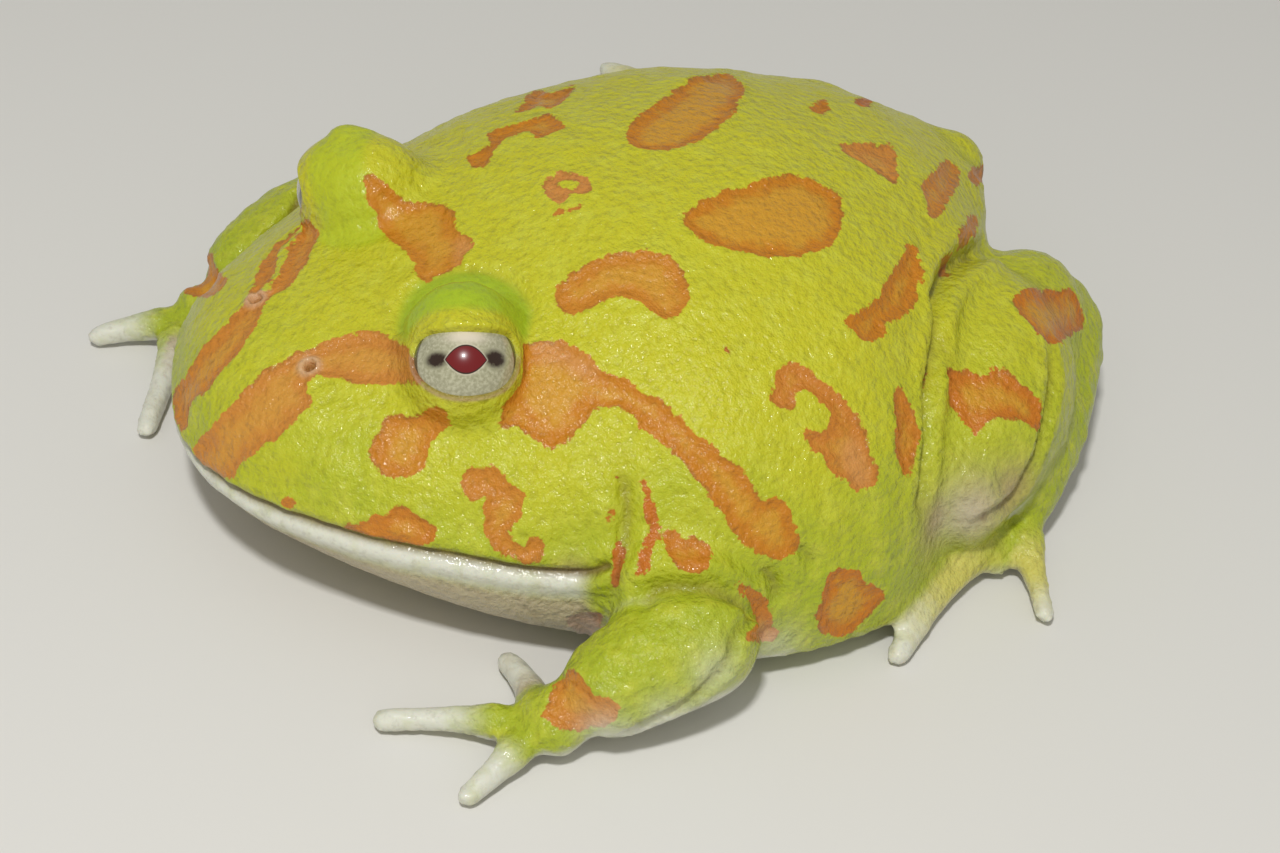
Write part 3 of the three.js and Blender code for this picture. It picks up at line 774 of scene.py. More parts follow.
def eye_axes(side):
    """The eye's gaze, and the directions across and up over it. The camera sees the left eye level, so
    across is the camera's right there and its mirror image on the right eye."""
    mirror = np.array([EYES[side]["side"], 1, 1])
    gaze = np.array(EYES[side]["gaze"]) / np.linalg.norm(EYES[side]["gaze"])
    across = VIEW_RIGHT * mirror
    across -= (across @ gaze) * gaze
    across /= np.linalg.norm(across)
    up = np.cross(gaze, across)
    return gaze, across, up * np.sign(up @ (VIEW_UP * mirror))


def over_eye(points, side):
    """Flat map of directions from an eye's centre: the angle from the gaze times the eye's radius, laid out
    across and up. Also the distance from the centre."""
    centre = np.array(EYES[side]["eye"])
    gaze, across, up = eye_axes(side)
    offset = points - centre
    distance = np.linalg.norm(offset, axis=1)
    unit = offset / np.maximum(distance, TINY_STEP)[:, None]
    a, b = unit @ across, unit @ up
    angle = np.arccos(np.clip(unit @ gaze, -1, 1))
    scale = EYE_RADIUS * angle / np.maximum(np.hypot(a, b), TINY_STEP)
    return np.stack([a * scale, b * scale], -1), distance


def eye_opening():
    """The opening between the lids on the flat map: the camera's rays through its pixels, met with the lid's
    ball, whose near crossing is at the root of a quadratic."""
    centre = np.array(EYES["left"]["eye"])
    rays = pixel_rays(rounded(EYE_OPENING))
    offset = CAMERA_PLACE - centre
    b = rays @ offset
    root = np.sqrt(np.maximum(b * b - (offset @ offset - LID_SHELL**2), 0))
    return over_eye(CAMERA_PLACE + rays * (-b - root)[:, None], "left")[0]


def depth_in_opening(flat, side):
    """How far places on the eye's flat map lie inside the lids' opening, in mm, negative outside."""
    outline = eye_opening() / EYES[side]["shut"]
    chain = np.vstack([outline, outline[:1]])
    solid = np.column_stack([flat, np.zeros(len(flat))])
    distance, _ = from_line(solid, np.column_stack([chain, np.zeros(len(chain))]), 12.0)
    return np.where(inside_outline(flat, outline), distance, -distance)


# Large odd factors that scatter whole numbers
SCATTER = np.array([73856093, 19349663, 83492791])
SCATTER_SALT = 2654435
SCATTER_AGAIN = 1274126177
HASH_TOP = 65535
# Where a wart's middle may lie in its cube, how wide it is, as shares of the cube, and what the salt is
# raised by for its height
WART_MARGIN = 0.15
WART_SPREAD = 0.7
WART_RADIUS = 0.55
HEIGHT_SALT = 7


def hash_unit(cells, salt):
    """A number from 0 to 1 for each whole-number cell, the same in each run: each part times its factor,
    joined bit by bit, multiplied once more and shifted over itself."""
    parts = cells * SCATTER
    mixed = parts[..., 0] ^ parts[..., 1] ^ parts[..., 2] ^ (salt * SCATTER_SALT)
    mixed = (mixed ^ (mixed >> 13)) * SCATTER_AGAIN
    return ((mixed ^ (mixed >> 16)) & HASH_TOP) / HASH_TOP


def granules(points, size, salt):
    """Round warts: 1 at the middle of the nearest of many scattered points, one in each cube of the given
    size, falling to 0 at about half that size, each with a height of its own."""
    place = points / size
    cell = np.floor(place).astype(np.int64)
    best = np.full(len(points), 9.0)
    height = np.zeros(len(points))
    for shift in np.ndindex(3, 3, 3):
        other = cell + np.array(shift) - 1
        scatter = np.stack([hash_unit(other, salt + k) for k in range(3)], -1)
        spot = other + WART_MARGIN + WART_SPREAD * scatter
        away = np.linalg.norm(place - spot, axis=1)
        closer = away < best
        best[closer] = away[closer]
        height[closer] = hash_unit(other[closer], salt + HEIGHT_SALT)
    return np.clip(1 - (best / WART_RADIUS) ** 2, 0, 1) * height


def limb_share(points, side, names):
    """How near points are to the given limbs, in mm from their surface, and how far along the nearest they
    are. Points further than 20 mm keep that distance."""
    best = np.full(len(points), 20.0)
    share = np.zeros(len(points))
    for name in names:
        through, radii, _ = LIMBS[side][name]
        steps = np.linspace(0, 1, 16)
        line = spline(through, steps)
        girth = np.interp(steps, np.linspace(0, 1, len(radii)), radii)
        for centre, radius, step in zip(line, girth, steps):
            away = np.linalg.norm(points - centre, axis=1) - radius
            closer = away < best
            best[closer] = away[closer]
            share[closer] = step
    return best, share


def skin_surface(settings):
    """Fuses body, brows, lids and limbs, and closes the creases where they meet."""
    grids = [body_grid()]
    grids += [tube_grid(*limb) for limbs in LIMBS.values() for limb in limbs.values()]
    grids += [tube_grid(*limb) for limb in FILLS + [HORN]]
    grids.append(ball_grid(*RUMP))
    for place in EYES.values():
        grids.append(ball_grid(place["brow"], BROW_RADII))
        grids.append(ball_grid(place["eye"], (LID_SHELL,) * 3))
    points, triangles = fuse(grids, settings.voxel)
    digits = [name for name in LIMBS["left"] if name.startswith(("finger", "toe"))]
    on_digit = np.zeros(len(points))
    for side in LIMBS:
        away, _ = limb_share(points, side, digits)
        on_digit = np.maximum(on_digit, 1 - ramp("off a limb", away))
    points = relax(points, triangles, rounds=9, fill=0.7 * (1 - 0.3 * on_digit), ease=0.06 * (1 - on_digit))
    points = relax(points, triangles, rounds=4, fill=0.35, ease=0.35 * (1 - 0.5 * on_digit))
    return points, triangles


def fine_places(surface, mouth):
    """Which points lie near an eye's opening or a nostril, and which near the mouth."""
    fine = np.zeros(len(surface.points), bool)
    for side in EYES:
        flat, distance = over_eye(surface.points, side)
        fine |= (depth_in_opening(flat, side) > -FINE_ROUND_EYE) & (distance < EYE_RADIUS + 3)
    for spot in surface.cast(NOSTRILS):
        fine |= np.linalg.norm(surface.points - spot, axis=1) < FINE_ROUND_NOSTRIL
    distance, _ = from_line(surface.points, mouth, 2 * FINE_ROUND_MOUTH)
    return fine, distance < FINE_ROUND_MOUTH


def mouth_line(surface):
    """The line of the closed lips: read on the near side, mirrored on the far side and laid on the skin."""
    near = surface.cast(rounded(MOUTH, closed=False))
    near = near[near[:, 0] > MOUTH_MIDDLE]
    far = near[::-1] * np.array([-1, 1, 1])
    far = np.array([surface.tree.find_nearest(Vector(spot))[0] for spot in far])
    return np.vstack([far, near])


def carve_eyes(points, marks):
    """Pulls the skin inside each opening under the eyeball, and rolls the lid's edge round over it: out from
    the edge the lid rises as a quarter circle, and further out it runs smoothly into the skin."""
    for side in EYES:
        flat, distance = over_eye(points, side)
        depth = depth_in_opening(flat, side)
        near = (depth > -LID_BLEND - 1) & (distance < EYE_RADIUS + 4)
        centre = np.array(EYES[side]["eye"])
        unit = (points - centre) / np.maximum(distance, TINY_STEP)[:, None]
        thick = LID_EDGE + EYES[side]["overhang"] * ramp("upper lid", flat[:, 1]) * bell(flat[:, 0], LID_SPAN)
        turned = 1 + np.clip(depth, -LID_ROLL, 0) / LID_ROLL
        rolled = EYE_RADIUS + LID_GAP + thick * np.sqrt(np.clip(1 - turned**2, 0, 1))
        gap = distance - rolled
        lid = rolled + smoothstep(-depth, 0, LID_BLEND) * (gap + np.sqrt(gap**2 + LID_SOFTNESS)) / 2
        wall = ramp("lid's wall", depth)
        wanted = lid * (1 - wall) + LID_ROOM_UNDER * wall
        points[near] = (centre + unit * wanted[:, None])[near]
        low = 1 - ramp("not the lower lid", flat[:, 1])
        # Painted shade along the edge of the lids, strongest at the lower lid
        add_mark(marks, "crease_shade_and_spot", bell(depth, 0.22) * near * (0.3 + 0.5 * low))
        # The lower lid's own pinkish-brown rim
        add_mark(marks, "flesh_and_shade", 0.7 * bell(depth + 0.3, 0.25) * near * low)
    return points


def press_lines(surface, mouth, marks):
    """How far the mouth and the creases lift the skin: a bell-shaped groove with a low ridge on each side."""
    points = surface.points
    away, foot = from_line(points, mouth, JAW_DEPTH)
    below = foot[:, 2] - points[:, 2]
    on = away < JAW_DEPTH
    lift = section(away, MOUTH_SECTION) * on
    # Painted shade in the mouth's groove
    add_mark(marks, "crease_shade_and_spot", bell(away, 0.55) * on)
    arms = np.minimum(*(limb_share(points, side, ("upper_arm", "forearm", "hand"))[0] for side in LIMBS))
    ahead = ramp("ahead of the arms", -points[:, 1]) * ramp("off the arms", arms) * on
    lip = ramp("lip", below) * (1 - ramp("below the lip", below)) * ahead
    jaw = ramp("jaw", below) * ahead
    add_mark(marks, "pale", np.maximum(lip, 0.3 * jaw))
    # Pinkish painted shade on the jaw below the white lip
    add_mark(marks, "flesh_and_shade", 0.75 * jaw)
    for depth, width, line in CREASES:
        chain = surface.cast(rounded(line, closed=False))
        away, _ = from_line(points, chain, CREASE_REACH)
        size = np.linalg.norm(np.ptp(chain, axis=0))
        from_middle = np.linalg.norm(points - chain.mean(0), axis=1)
        ends = 1 - CREASE_LOSS * smoothstep(from_middle, *(share * size for share in CREASE_ENDS))
        bells = [(height, place * width, wide * width) for height, place, wide in CREASE_SECTION]
        lift += ends * depth * section(away, bells) * (away < CREASE_REACH)
        # Painted shade along each crease
        painted_crease_shade = 0.55 * min(depth / 0.8, 1) * ends * bell(away, 0.8 * width)
        add_mark(marks, "crease_shade_and_spot", painted_crease_shade * (away < CREASE_REACH))
    return lift


def press_nostrils(surface, marks):
    """How far the nostrils lift the skin: a raised ring of a bell-shaped section round a bell-shaped pit."""
    lift = np.zeros(len(surface.points))
    for spot in surface.cast(NOSTRILS):
        away = np.linalg.norm(surface.points - spot, axis=1)
        lift += section(away, NOSTRIL_SECTION)
        add_mark(marks, "pale", 0.3 * bell(away - NOSTRIL_RING, 0.5))
        # Painted shade in the nostril's pit
        add_mark(marks, "crease_shade_and_spot", bell(away, 0.5))
    return lift


def paint_marks(surface, marks):
    """Works out, at each point, how far it lies inside the markings, and how red and pink they are there."""
    depth = np.full(len(surface.points), -PATCH_REACH)
    for name, redness, pinkness, outline in PATCHES:
        for side in (1, -1) if name in MIRRORED else (1,):
            inside = surface.depth_in(outline, side)
            if side < 0:
                inside = np.minimum(inside, MIRROR_DEPTH * (-surface.facing() - MIRROR_MARGIN))
            deeper = inside > depth
            depth[deeper] = inside[deeper]
            marks["red"][deeper] = redness
            marks["pink"][deeper] = pinkness
    for outline in GREEN_GAPS:
        depth = np.minimum(depth, -surface.depth_in(outline))
    marks["patch"] = depth
    for outline in PINK_PARTS:
        add_mark(marks, "pink", ramp("pink part", surface.depth_in(outline)))


def paint_tints(surface, marks):
    """Adds soft tints round places, whitens the digits towards their tips, and pales the belly's edge."""
    points = surface.points
    for name, place in EYES.items():
        lid = ramp("lid's dome", surface.depth_in(LID_DOME, place["side"]))
        flat, _ = over_eye(points, name)
        above = ramp("above the opening", -depth_in_opening(flat, name)) if name == "left" else 0.5
        add_mark(marks, "lime", lid * above)
    for name, pixel, radius, strength in TINTS:
        spot = surface.cast([pixel])[0]
        add_mark(marks, name, strength * bell(np.linalg.norm(points - spot, axis=1), radius))
    for side in LIMBS:
        for kind in ("finger", "toe"):
            away, share = limb_share(points, side, [name for name in LIMBS[side] if name.startswith(kind)])
            on = 1 - ramp("off a digit", away)
            add_mark(marks, "pale", on * ramp(f"{kind}, share of its length", share))
            if kind == "toe":
                add_mark(marks, "cream", 0.85 * on * ramp("toe's cream, share of its length", share))
        away, _ = limb_share(points, side, ["forearm", "hand", "foot"])
        under = ramp("facing down, cosine", -surface.normals[:, 2]) * (1 - ramp("off a limb", away))
        add_mark(marks, "pale", 0.95 * under)
    across, along, height = points.T
    add_mark(marks, "pale", 0.75 * (1 - ramp("off the floor", height)))
    throat = (1 - ramp("behind the throat", along)) * (1 - ramp("beside the throat", np.abs(across)))
    throat *= along > -50
    # Pinkish tint low on the throat, partly painted shade on its underside
    add_mark(marks, "flesh_and_shade", 0.6 * (1 - ramp("above the throat", height)) * throat)


def warts(points, height, spacing, salt, power=1):
    """Warts of up to the given height, whose shape is raised to a power that makes them more pointed."""
    return height * granules(points, spacing, salt) ** power


def roughen(points, normals, marks):
    """Warts, lumps and sunken markings, along the skin's normals: small warts everywhere, larger ones low on
    the flanks, broad lumps higher up, and none on the lids' edges."""
    height = points[:, 2]
    low = (1 - ramp("above the flank", height)) * ramp("flank", height)
    calm = 1 - 0.75 * ramp("calm, strength of its tint", np.maximum(marks["pale"], marks["flesh_and_shade"]))
    off_eye = np.ones(len(points))
    for side in EYES:
        flat, distance = over_eye(points, side)
        lid_edge = (depth_in_opening(flat, side) > -1.2) * (distance < EYE_RADIUS + 2)
        off_eye = np.minimum(off_eye, 1 - lid_edge)
    lift = warts(points, *FINE_WARTS) + low * warts(points, *FLANK_WARTS)
    lift += ramp("lumpy", height) * warts(points, *LUMPS, power=2)
    rim, place, width = PATCH_RIM
    edge = rim * bell(marks["patch"] + place, width) - PATCH_SUNK * ramp("sunk", marks["patch"])
    return points + normals * ((lift * calm + edge) * off_eye)[:, None]


def linear(hex_colour):
    """sRGB hex to linear light: below 0.04045 divided by 12.92, above it the 2.4 power."""
    parts = [int(hex_colour[k:k + 2], 16) / 255 for k in (1, 3, 5)]
    return tuple(c / 12.92 if c <= 0.04045 else ((c + 0.055) / 1.055) ** 2.4 for c in parts)


def add_node(tree, kind, inputs=None, output=0, **settings):
    """Adds a node with its settings, fills its sockets with numbers, sRGB hex colours or other nodes'
    outputs, and gives one of its own outputs."""
    node = tree.nodes.new(kind)
    for name, value in settings.items():
        setattr(node, name, value)
    for socket, value in (inputs or {}).items():
        if isinstance(value, bpy.types.NodeSocket):
            tree.links.new(value, node.inputs[socket])
        else:
            value = (*linear(value), 1.0) if isinstance(value, str) else value
            node.inputs[socket].default_value = value
    return node.outputs[output] if node.outputs else None


# Kinds of node and settings that recur, and the sockets of a colour Mix node
MATH = "ShaderNodeMath"
MIX = "ShaderNodeMix"
RANGE = "ShaderNodeMapRange"
NOISE = "ShaderNodeTexNoise"
MIX_FACTOR, MIX_A, MIX_B, MIX_RESULT = 0, 6, 7, 2
COLOURS = {"data_type": "RGBA"}
SMOOTH = {"interpolation_type": "SMOOTHSTEP"}
# Refraction of the wet film on the skin, and of the eye's clear front
WATER_IOR = 1.33
CORNEA_IOR = 1.38

# Noise in the skin: size of its blotches in mm, detail, roughness. The eye's veins are drawn coarser than
# they are, so that they show
SKIN_NOISES = {
    "blotch": (9.0, 3.0, 0.5),
    "mottle": (2.4, 3.0, 0.5),
    "outline": (1.9, 3.0, 0.6),
    "spread": (4.0, 1.0, 0.5),
    "leather": (0.85, 2.5, 0.6),
    "grain": (0.5, 2.0, 0.5),
}
VEIN_SIZE = 0.35
# What the meshes' points carry for the materials
SKIN_MARKS = ("crease_shade_and_spot", "pale", "cream", "flesh_and_shade", "lime", "red", "pink")
EYE_MARKS = ("pupil", "painted_highlight", "smudge", "limb", "ring")
# How far the markings' outline is roughened by coarse and by fine noise, in mm
OUTLINE_ROUGHNESS = 2.0
GRAIN_ROUGHNESS = 0.8


def new_material(name):
    """Material with an empty tree of nodes."""
    material = bpy.data.materials.new(name)
    material.use_nodes = True
    material.node_tree.nodes.clear()
    return material


def moist_frog_skin(settings):
    """Moist, granular frog skin: a satin ground under a thin wet film, so it glints on each granule. It is
    yellow-green with orange-brown markings rimmed in brown, and white where the skin is thin over fingers
    and lips. Shade in the creases, pits, lid edges and wrinkles' hollows, and under the jaw, is painted on."""
    material = new_material("moist_frog_skin")
    node = partial(add_node, material.node_tree)
    place = node("ShaderNodeTexCoord", output="Object")
    height = node("ShaderNodeSeparateXYZ", {0: place}, output=2)
    mark = {name: node("ShaderNodeAttribute", output="Fac", attribute_name=name)
            for name in SKIN_MARKS + ("patch",)}
    noise = {name: node(NOISE, {"Vector": place, "Scale": 1000 / size, "Detail": detail, "Roughness": rough})
             for name, (size, detail, rough) in SKIN_NOISES.items()}

    # The markings' outline is roughened by up to about a millimetre, so it is jagged as on the frog
    edge = node(MATH, {0: noise["outline"], 1: OUTLINE_ROUGHNESS, 2: mark["patch"]}, operation="MULTIPLY_ADD")
    edge = node(MATH, {0: noise["grain"], 1: GRAIN_ROUGHNESS, 2: edge}, operation="MULTIPLY_ADD")
    edge = node(MATH, {0: edge, 1: (OUTLINE_ROUGHNESS + GRAIN_ROUGHNESS) / 2}, operation="SUBTRACT")
    inside = node(MATH, {0: noise["mottle"], 1: 4.0, 2: edge}, operation="MULTIPLY_ADD")
    from_edge = node(MATH, {0: edge, 1: 0.15}, operation="SUBTRACT")
    from_edge = node(MATH, {0: from_edge}, operation="ABSOLUTE")
    wavy_height = node(MATH, {0: noise["blotch"], 1: 0.02, 2: height}, operation="MULTIPLY_ADD")

    # Masks: what they read, and the smooth step from one value to another
    masks = {
        "low flank": (wavy_height, 0.044, 0.02, 0.0, 1.0),
        "dapple": (noise["mottle"], 0.42, 0.75, 0.0, 0.55),
        "lid": (mark["lime"], 0.0, 1.0, 0.0, 0.85),
        "light middle": (inside, 2.6, 4.8, 0.0, 0.8),
        "patch": (edge, -0.08, 0.12, 0.0, 1.0),
        "rim": (from_edge, 0.03, 0.35, 0.55, 0.0),
        "patchy": (noise["spread"], 0.4, 0.7, 0.1, 1.0),
        "cloudy": (noise["mottle"], 0.25, 0.55, 0.75, 1.0),
        # painted shade in the creases, pits and lid edges, and one real dark brown spot
        "crease_shade_and_spot": (mark["crease_shade_and_spot"], 0.0, 1.0, 0.0, 0.7),
        # painted shade in the hollows of the leathery wrinkles
        "wrinkle_shade": (noise["leather"], 0.3, 0.5, 0.14, 0.0),
        "smooth": (mark["pale"], 0.2, 0.9, 1.0, 0.3),
        "smooth lid": (mark["lime"], 0.1, 0.8, 1.0, 0.4),
    }
    mask = {name: node(RANGE, {"Value": source, 1: low, 2: high, 3: start, 4: end}, **SMOOTH)
            for name, (source, low, high, start, end) in masks.items()}
    mask["rim"] = node(MATH, {0: mask["rim"], 1: mask["patchy"]}, operation="MULTIPLY")
    mask["pale"] = node(MATH, {0: mark["pale"], 1: mask["cloudy"]}, operation="MULTIPLY")

    # Colours of the markings, then of the ground and all that lies over it, painted shade included
    orange = settings.patch_hex
    for factor, tint in ((mark["red"], settings.patch_red_hex),
                         (mask["light middle"], settings.patch_light_hex), (mark["pink"], settings.pink_hex)):
        orange = node(MIX, {MIX_FACTOR: factor, MIX_A: orange, MIX_B: tint}, MIX_RESULT, **COLOURS)
    colour = settings.back_hex
    for factor, tint, blend in (
            (mask["low flank"], settings.flank_hex, "MIX"), (mask["dapple"], settings.dapple_hex, "MIX"),
            (mask["lid"], settings.lid_hex, "MIX"), (mask["patch"], orange, "MIX"),
            (mask["rim"], settings.rim_hex, "MIX"), (mark["cream"], settings.cream_hex, "MIX"),
            # pinkish flesh that is partly painted shade under the jaw, then the pale skin
            (mark["flesh_and_shade"], settings.flesh_and_shade_hex, "MIX"), (mask["pale"], settings.pale_hex, "MIX"),
            # painted shade in the creases, pits and lid edges, and one real dark brown spot
            (mask["crease_shade_and_spot"], settings.crease_shade_and_spot_hex, "MIX"),
            # painted shade in the wrinkles' hollows
            (mask["wrinkle_shade"], settings.crease_shade_and_spot_hex, "MULTIPLY")):
        colour = node(MIX, {MIX_FACTOR: factor, MIX_A: colour, MIX_B: tint}, MIX_RESULT, blend_type=blend,
                      **COLOURS)

    # Relief: leathery wrinkles and irregular granules, nearly smooth on fingers, toes and lids
    granule = node("ShaderNodeTexVoronoi", {
        "Vector": place, "Scale": 1 / settings.granule, "Smoothness": 0.7}, feature="SMOOTH_F1")
    relief = node(MATH, {0: granule, 1: -0.5, 2: noise["leather"]}, operation="MULTIPLY_ADD")
    relief = node(MATH, {0: relief, 1: mask["smooth"]}, operation="MULTIPLY")
    relief = node(MATH, {0: relief, 1: mask["smooth lid"]}, operation="MULTIPLY")
    bump = node("ShaderNodeBump", {"Strength": 1.0, "Distance": settings.relief, "Height": relief})
    shader = node("ShaderNodeBsdfPrincipled", {
        "Base Color": colour, "Normal": bump, "Roughness": 0.5, "Specular IOR Level": 0.3,
        "Coat Weight": settings.wetness, "Coat Roughness": 0.09, "Coat IOR": WATER_IOR, "Coat Normal": bump,
        "Subsurface Weight": 0.12, "Subsurface Radius": (1.0, 0.6, 0.25), "Subsurface Scale": 1.5 * MM})
    node("ShaderNodeOutputMaterial", {"Surface": shader})
    return material


def wet_eyeball(settings):
    """Living eye under its clear wet front: a silvery cream iris with fine dark veins, a dark rim where it
    goes under the lids, a painted highlight above the pupil, and a pupil shaped like a lying lens, painted
    dark red for the flash's reflection in it. The water film makes it mirror-smooth."""
    material = new_material("wet_eyeball")
    node = partial(add_node, material.node_tree)
    place = node("ShaderNodeTexCoord", output="Object")
    veins = node(NOISE, {"Vector": place, "Scale": 1000 / VEIN_SIZE, "Detail": 4.0})
    mark = {name: node("ShaderNodeAttribute", output="Fac", attribute_name=name) for name in EYE_MARKS}
    veined = {name: node(MATH, {0: veins, 1: weight, 2: mark[name]}, operation="MULTIPLY_ADD")
              for name, weight in (("limb", 0.3), ("smudge", 0.5))}

    # Layers from the iris up: what each reads, the smooth step from one value to another, its colour
    colour = settings.iris_dark_hex
    for source, low, high, start, end, tint in (
            (veins, 0.35, 0.7, 0.0, 1.0, settings.iris_hex),
            # painted highlight above the pupil
            (mark["painted_highlight"], 0.0, 1.0, 0.0, 1.0, settings.iris_cream_and_highlight_hex),
            (veined["limb"], 0.25, 1.2, 0.0, 1.0, settings.iris_edge_hex),
            (mark["ring"], 0.0, 1.0, 0.0, 1.0, settings.smudge_hex),
            (veined["smudge"], 0.5, 1.05, 0.0, 1.0, settings.smudge_hex),
            (mark["pupil"], -0.4, -0.15, 0.0, 0.45, settings.iris_cream_and_highlight_hex),
            (mark["pupil"], -0.13, -0.05, 0.0, 1.0, settings.smudge_hex),
            # the pupil's dark red, a painted reflection of the flash
            (mark["pupil"], 0.0, 0.14, 0.0, 1.0, settings.pupil_red_reflection_hex)):
        factor = node(RANGE, {"Value": source, 1: low, 2: high, 3: start, 4: end}, **SMOOTH)
        colour = node(MIX, {MIX_FACTOR: factor, MIX_A: colour, MIX_B: tint}, MIX_RESULT, **COLOURS)
    shader = node("ShaderNodeBsdfPrincipled", {
        "Base Color": colour, "Roughness": 0.25, "IOR": CORNEA_IOR, "Coat Weight": 1.0,
        "Coat Roughness": 0.02, "Coat IOR": CORNEA_IOR})
    node("ShaderNodeOutputMaterial", {"Surface": shader})
    return material


def matt_paper_floor(settings):
    """Pale matt paper: rough all over, so it mirrors nothing and shows the frog's soft shadow."""
    material = new_material("matt_paper_floor")
    node = partial(add_node, material.node_tree)
    shader = node("ShaderNodeBsdfPrincipled", {"Base Color": settings.floor_hex, "Roughness": 0.8})
    node("ShaderNodeOutputMaterial", {"Surface": shader})
    return material


def eyeball(side, rings=90, sides=128):
    """An eyeball as rings round its gaze: radius plus a low bell-shaped cornea. Its marks tell, on the eye's
    flat map, how far inside the pupil a point is, and where the painted highlight above it, the smudges
    beside it and the iris's rim lie. The pupil is a lens: the height over its half height, and the width
    over its half width to the power 2.1, add up to less than 1."""
    share = np.linspace(0.004, 1, rings) ** 1.15
    polar = (share * (math.pi - 0.02))[:, None]
    angle = circle(sides)[None, :]
    gaze, across, up = eye_axes(side)
    unit = (np.cos(polar)[..., None] * gaze + (np.sin(polar) * np.cos(angle))[..., None] * across
            + (np.sin(polar) * np.sin(angle))[..., None] * up)
    radius = EYE_RADIUS + CORNEA_RISE * bell(polar, CORNEA_WIDTH)[..., None]
    points = (np.array(EYES[side]["eye"]) + unit * radius).reshape(-1, 3)
    flat, _ = over_eye(points, side)
    a, b = flat[:, 0], flat[:, 1] + PUPIL_DROP
    from_middle = np.hypot(a, b) * EYES[side]["shut"] ** 1.5
    lens = np.abs(b) / PUPIL_HALF_HEIGHT, (np.abs(a) / PUPIL_HALF_WIDTH) ** 2.1
    marks = {
        "pupil": 1.5 * (1 - lens[0]) - 1.5 * lens[1],
        # painted highlight above the pupil
        "painted_highlight": bell(a, 2.4) * bell(b - 2.6, 1.0),
        "smudge": np.maximum(bell(a + 3.3, 1.7) * bell(b - 0.05, 1.05),
                             bell(a - 3.3, 1.6) * bell(b - 0.25, 1.2)),
        "limb": ramp("rim of the iris", from_middle),
        "ring": bell(from_middle - IRIS_RADIUS, 0.18),
    }
    return make_mesh(f"eyeball_{side}", points, grid_faces(rings, sides, 0)), marks


def store_marks(mesh, marks):
    """Writes each mark as a number on the mesh's points."""
    for name, values in marks.items():
        values = values.astype(np.float32)
        mesh.attributes.new(name, "FLOAT", "POINT").data.foreach_set("value", values)


def turn_outward(mesh):
    """Turns every face outward when the closed mesh encloses a negative volume."""
    points, triangles = mesh_arrays(mesh)
    a, b, c = points[triangles[:, 0]], points[triangles[:, 1]], points[triangles[:, 2]]
    if (a * np.cross(b, c)).sum() < 0:
        mesh.flip_normals()


def finished_piece(name, mesh, marks, material):
    """Turns a closed mesh outward, gives it its marks and its material, and makes it a piece."""
    turn_outward(mesh)
    store_marks(mesh, marks)
    mesh.shade_smooth()
    mesh.materials.append(material)
    return make_piece(name, mesh)


def colour_property(name, description, default):
    """Property that holds an sRGB hex colour."""
    return bpy.props.StringProperty(name=name, description=description, default=default)


def number_property(name, description, default, **limits):
    """Property that holds a number, with its limits and its unit or subtype."""
    return bpy.props.FloatProperty(name=name, description=description, default=default, **limits)


class FrogSkinSettings(bpy.types.PropertyGroup):
    """Sizes and colours of the skin."""
    voxel: number_property("Mesh cell", "Size of the cubes that the fused skin is remeshed on", 0.00074,
                           min=0.0005, precision=5, unit="LENGTH")
    granule: number_property("Granule", "Spacing of the fine granules", 0.0012, min=0.0002, precision=5,
                             unit="LENGTH")
    relief: number_property("Relief", "Depth of the fine wrinkles", 0.00042, min=0, precision=5,
                            unit="LENGTH")
    wetness: number_property("Wetness", "Strength of the wet film", 0.55, min=0, max=1, subtype="FACTOR")
    back_hex: colour_property("Back", "Yellow-green of the back", "#c0bd20")
    flank_hex: colour_property("Flank", "Green of the lower flanks", "#a4b022")
    dapple_hex: colour_property("Dapple", "Lighter dapples", "#c4c63c")
    lid_hex: colour_property("Lid", "Green of the upper lids", "#9cb81c")
    patch_hex: colour_property("Marking", "Orange-brown of the markings", "#c27c0c")
    patch_light_hex: colour_property("Marking light", "Lighter dapples in the markings", "#cb9828")
    patch_red_hex: colour_property("Marking red", "Redder markings", "#be6418")
    pink_hex: colour_property("Marking pink", "Pinker markings", "#cb8c46")
    rim_hex: colour_property("Rim", "Brown rim of the markings", "#94601e")
    cream_hex: colour_property("Cream", "Yellowish cream of the toes", "#cfc566")
    pale_hex: colour_property("Pale skin", "Fingers, toes and lower lip", "#d6d6c6")
    # Pinkish brown of the throat and the lower lids' rim, and also painted shade under the lip and low on the
    # jaw and throat
    flesh_and_shade_hex: colour_property("Throat", "Pinkish brown of the throat", "#ab8a74")
    # Painted shade in the creases, the mouth's groove, the nostrils' pits, the lids' edges and the wrinkles'
    # hollows, and one real dark brown spot
    crease_shade_and_spot_hex: colour_property("Crease", "Brown in the creases", "#6b4a2c")


class FrogEyeSettings(bpy.types.PropertyGroup):
    """Colours of the eyes."""
    iris_hex: colour_property("Iris", "Silvery iris", "#b9b699")
    iris_dark_hex: colour_property("Iris veins", "Darker flecks in the iris", "#9a977a")
    # Cream round the pupil, and the painted highlight above it
    iris_cream_and_highlight_hex: colour_property("Iris light", "Cream above and round the pupil", "#d8cdb8")
    iris_edge_hex: colour_property("Iris edge", "Olive grey where the eye goes under the lids", "#4e5236")
    smudge_hex: colour_property("Smudge", "Dark smudges beside the pupil", "#2e1d10")
    # The pupil's dark red is a painted reflection of the flash from inside the eye
    pupil_red_reflection_hex: colour_property("Pupil", "Dark red of the pupil", "#6e0f12")


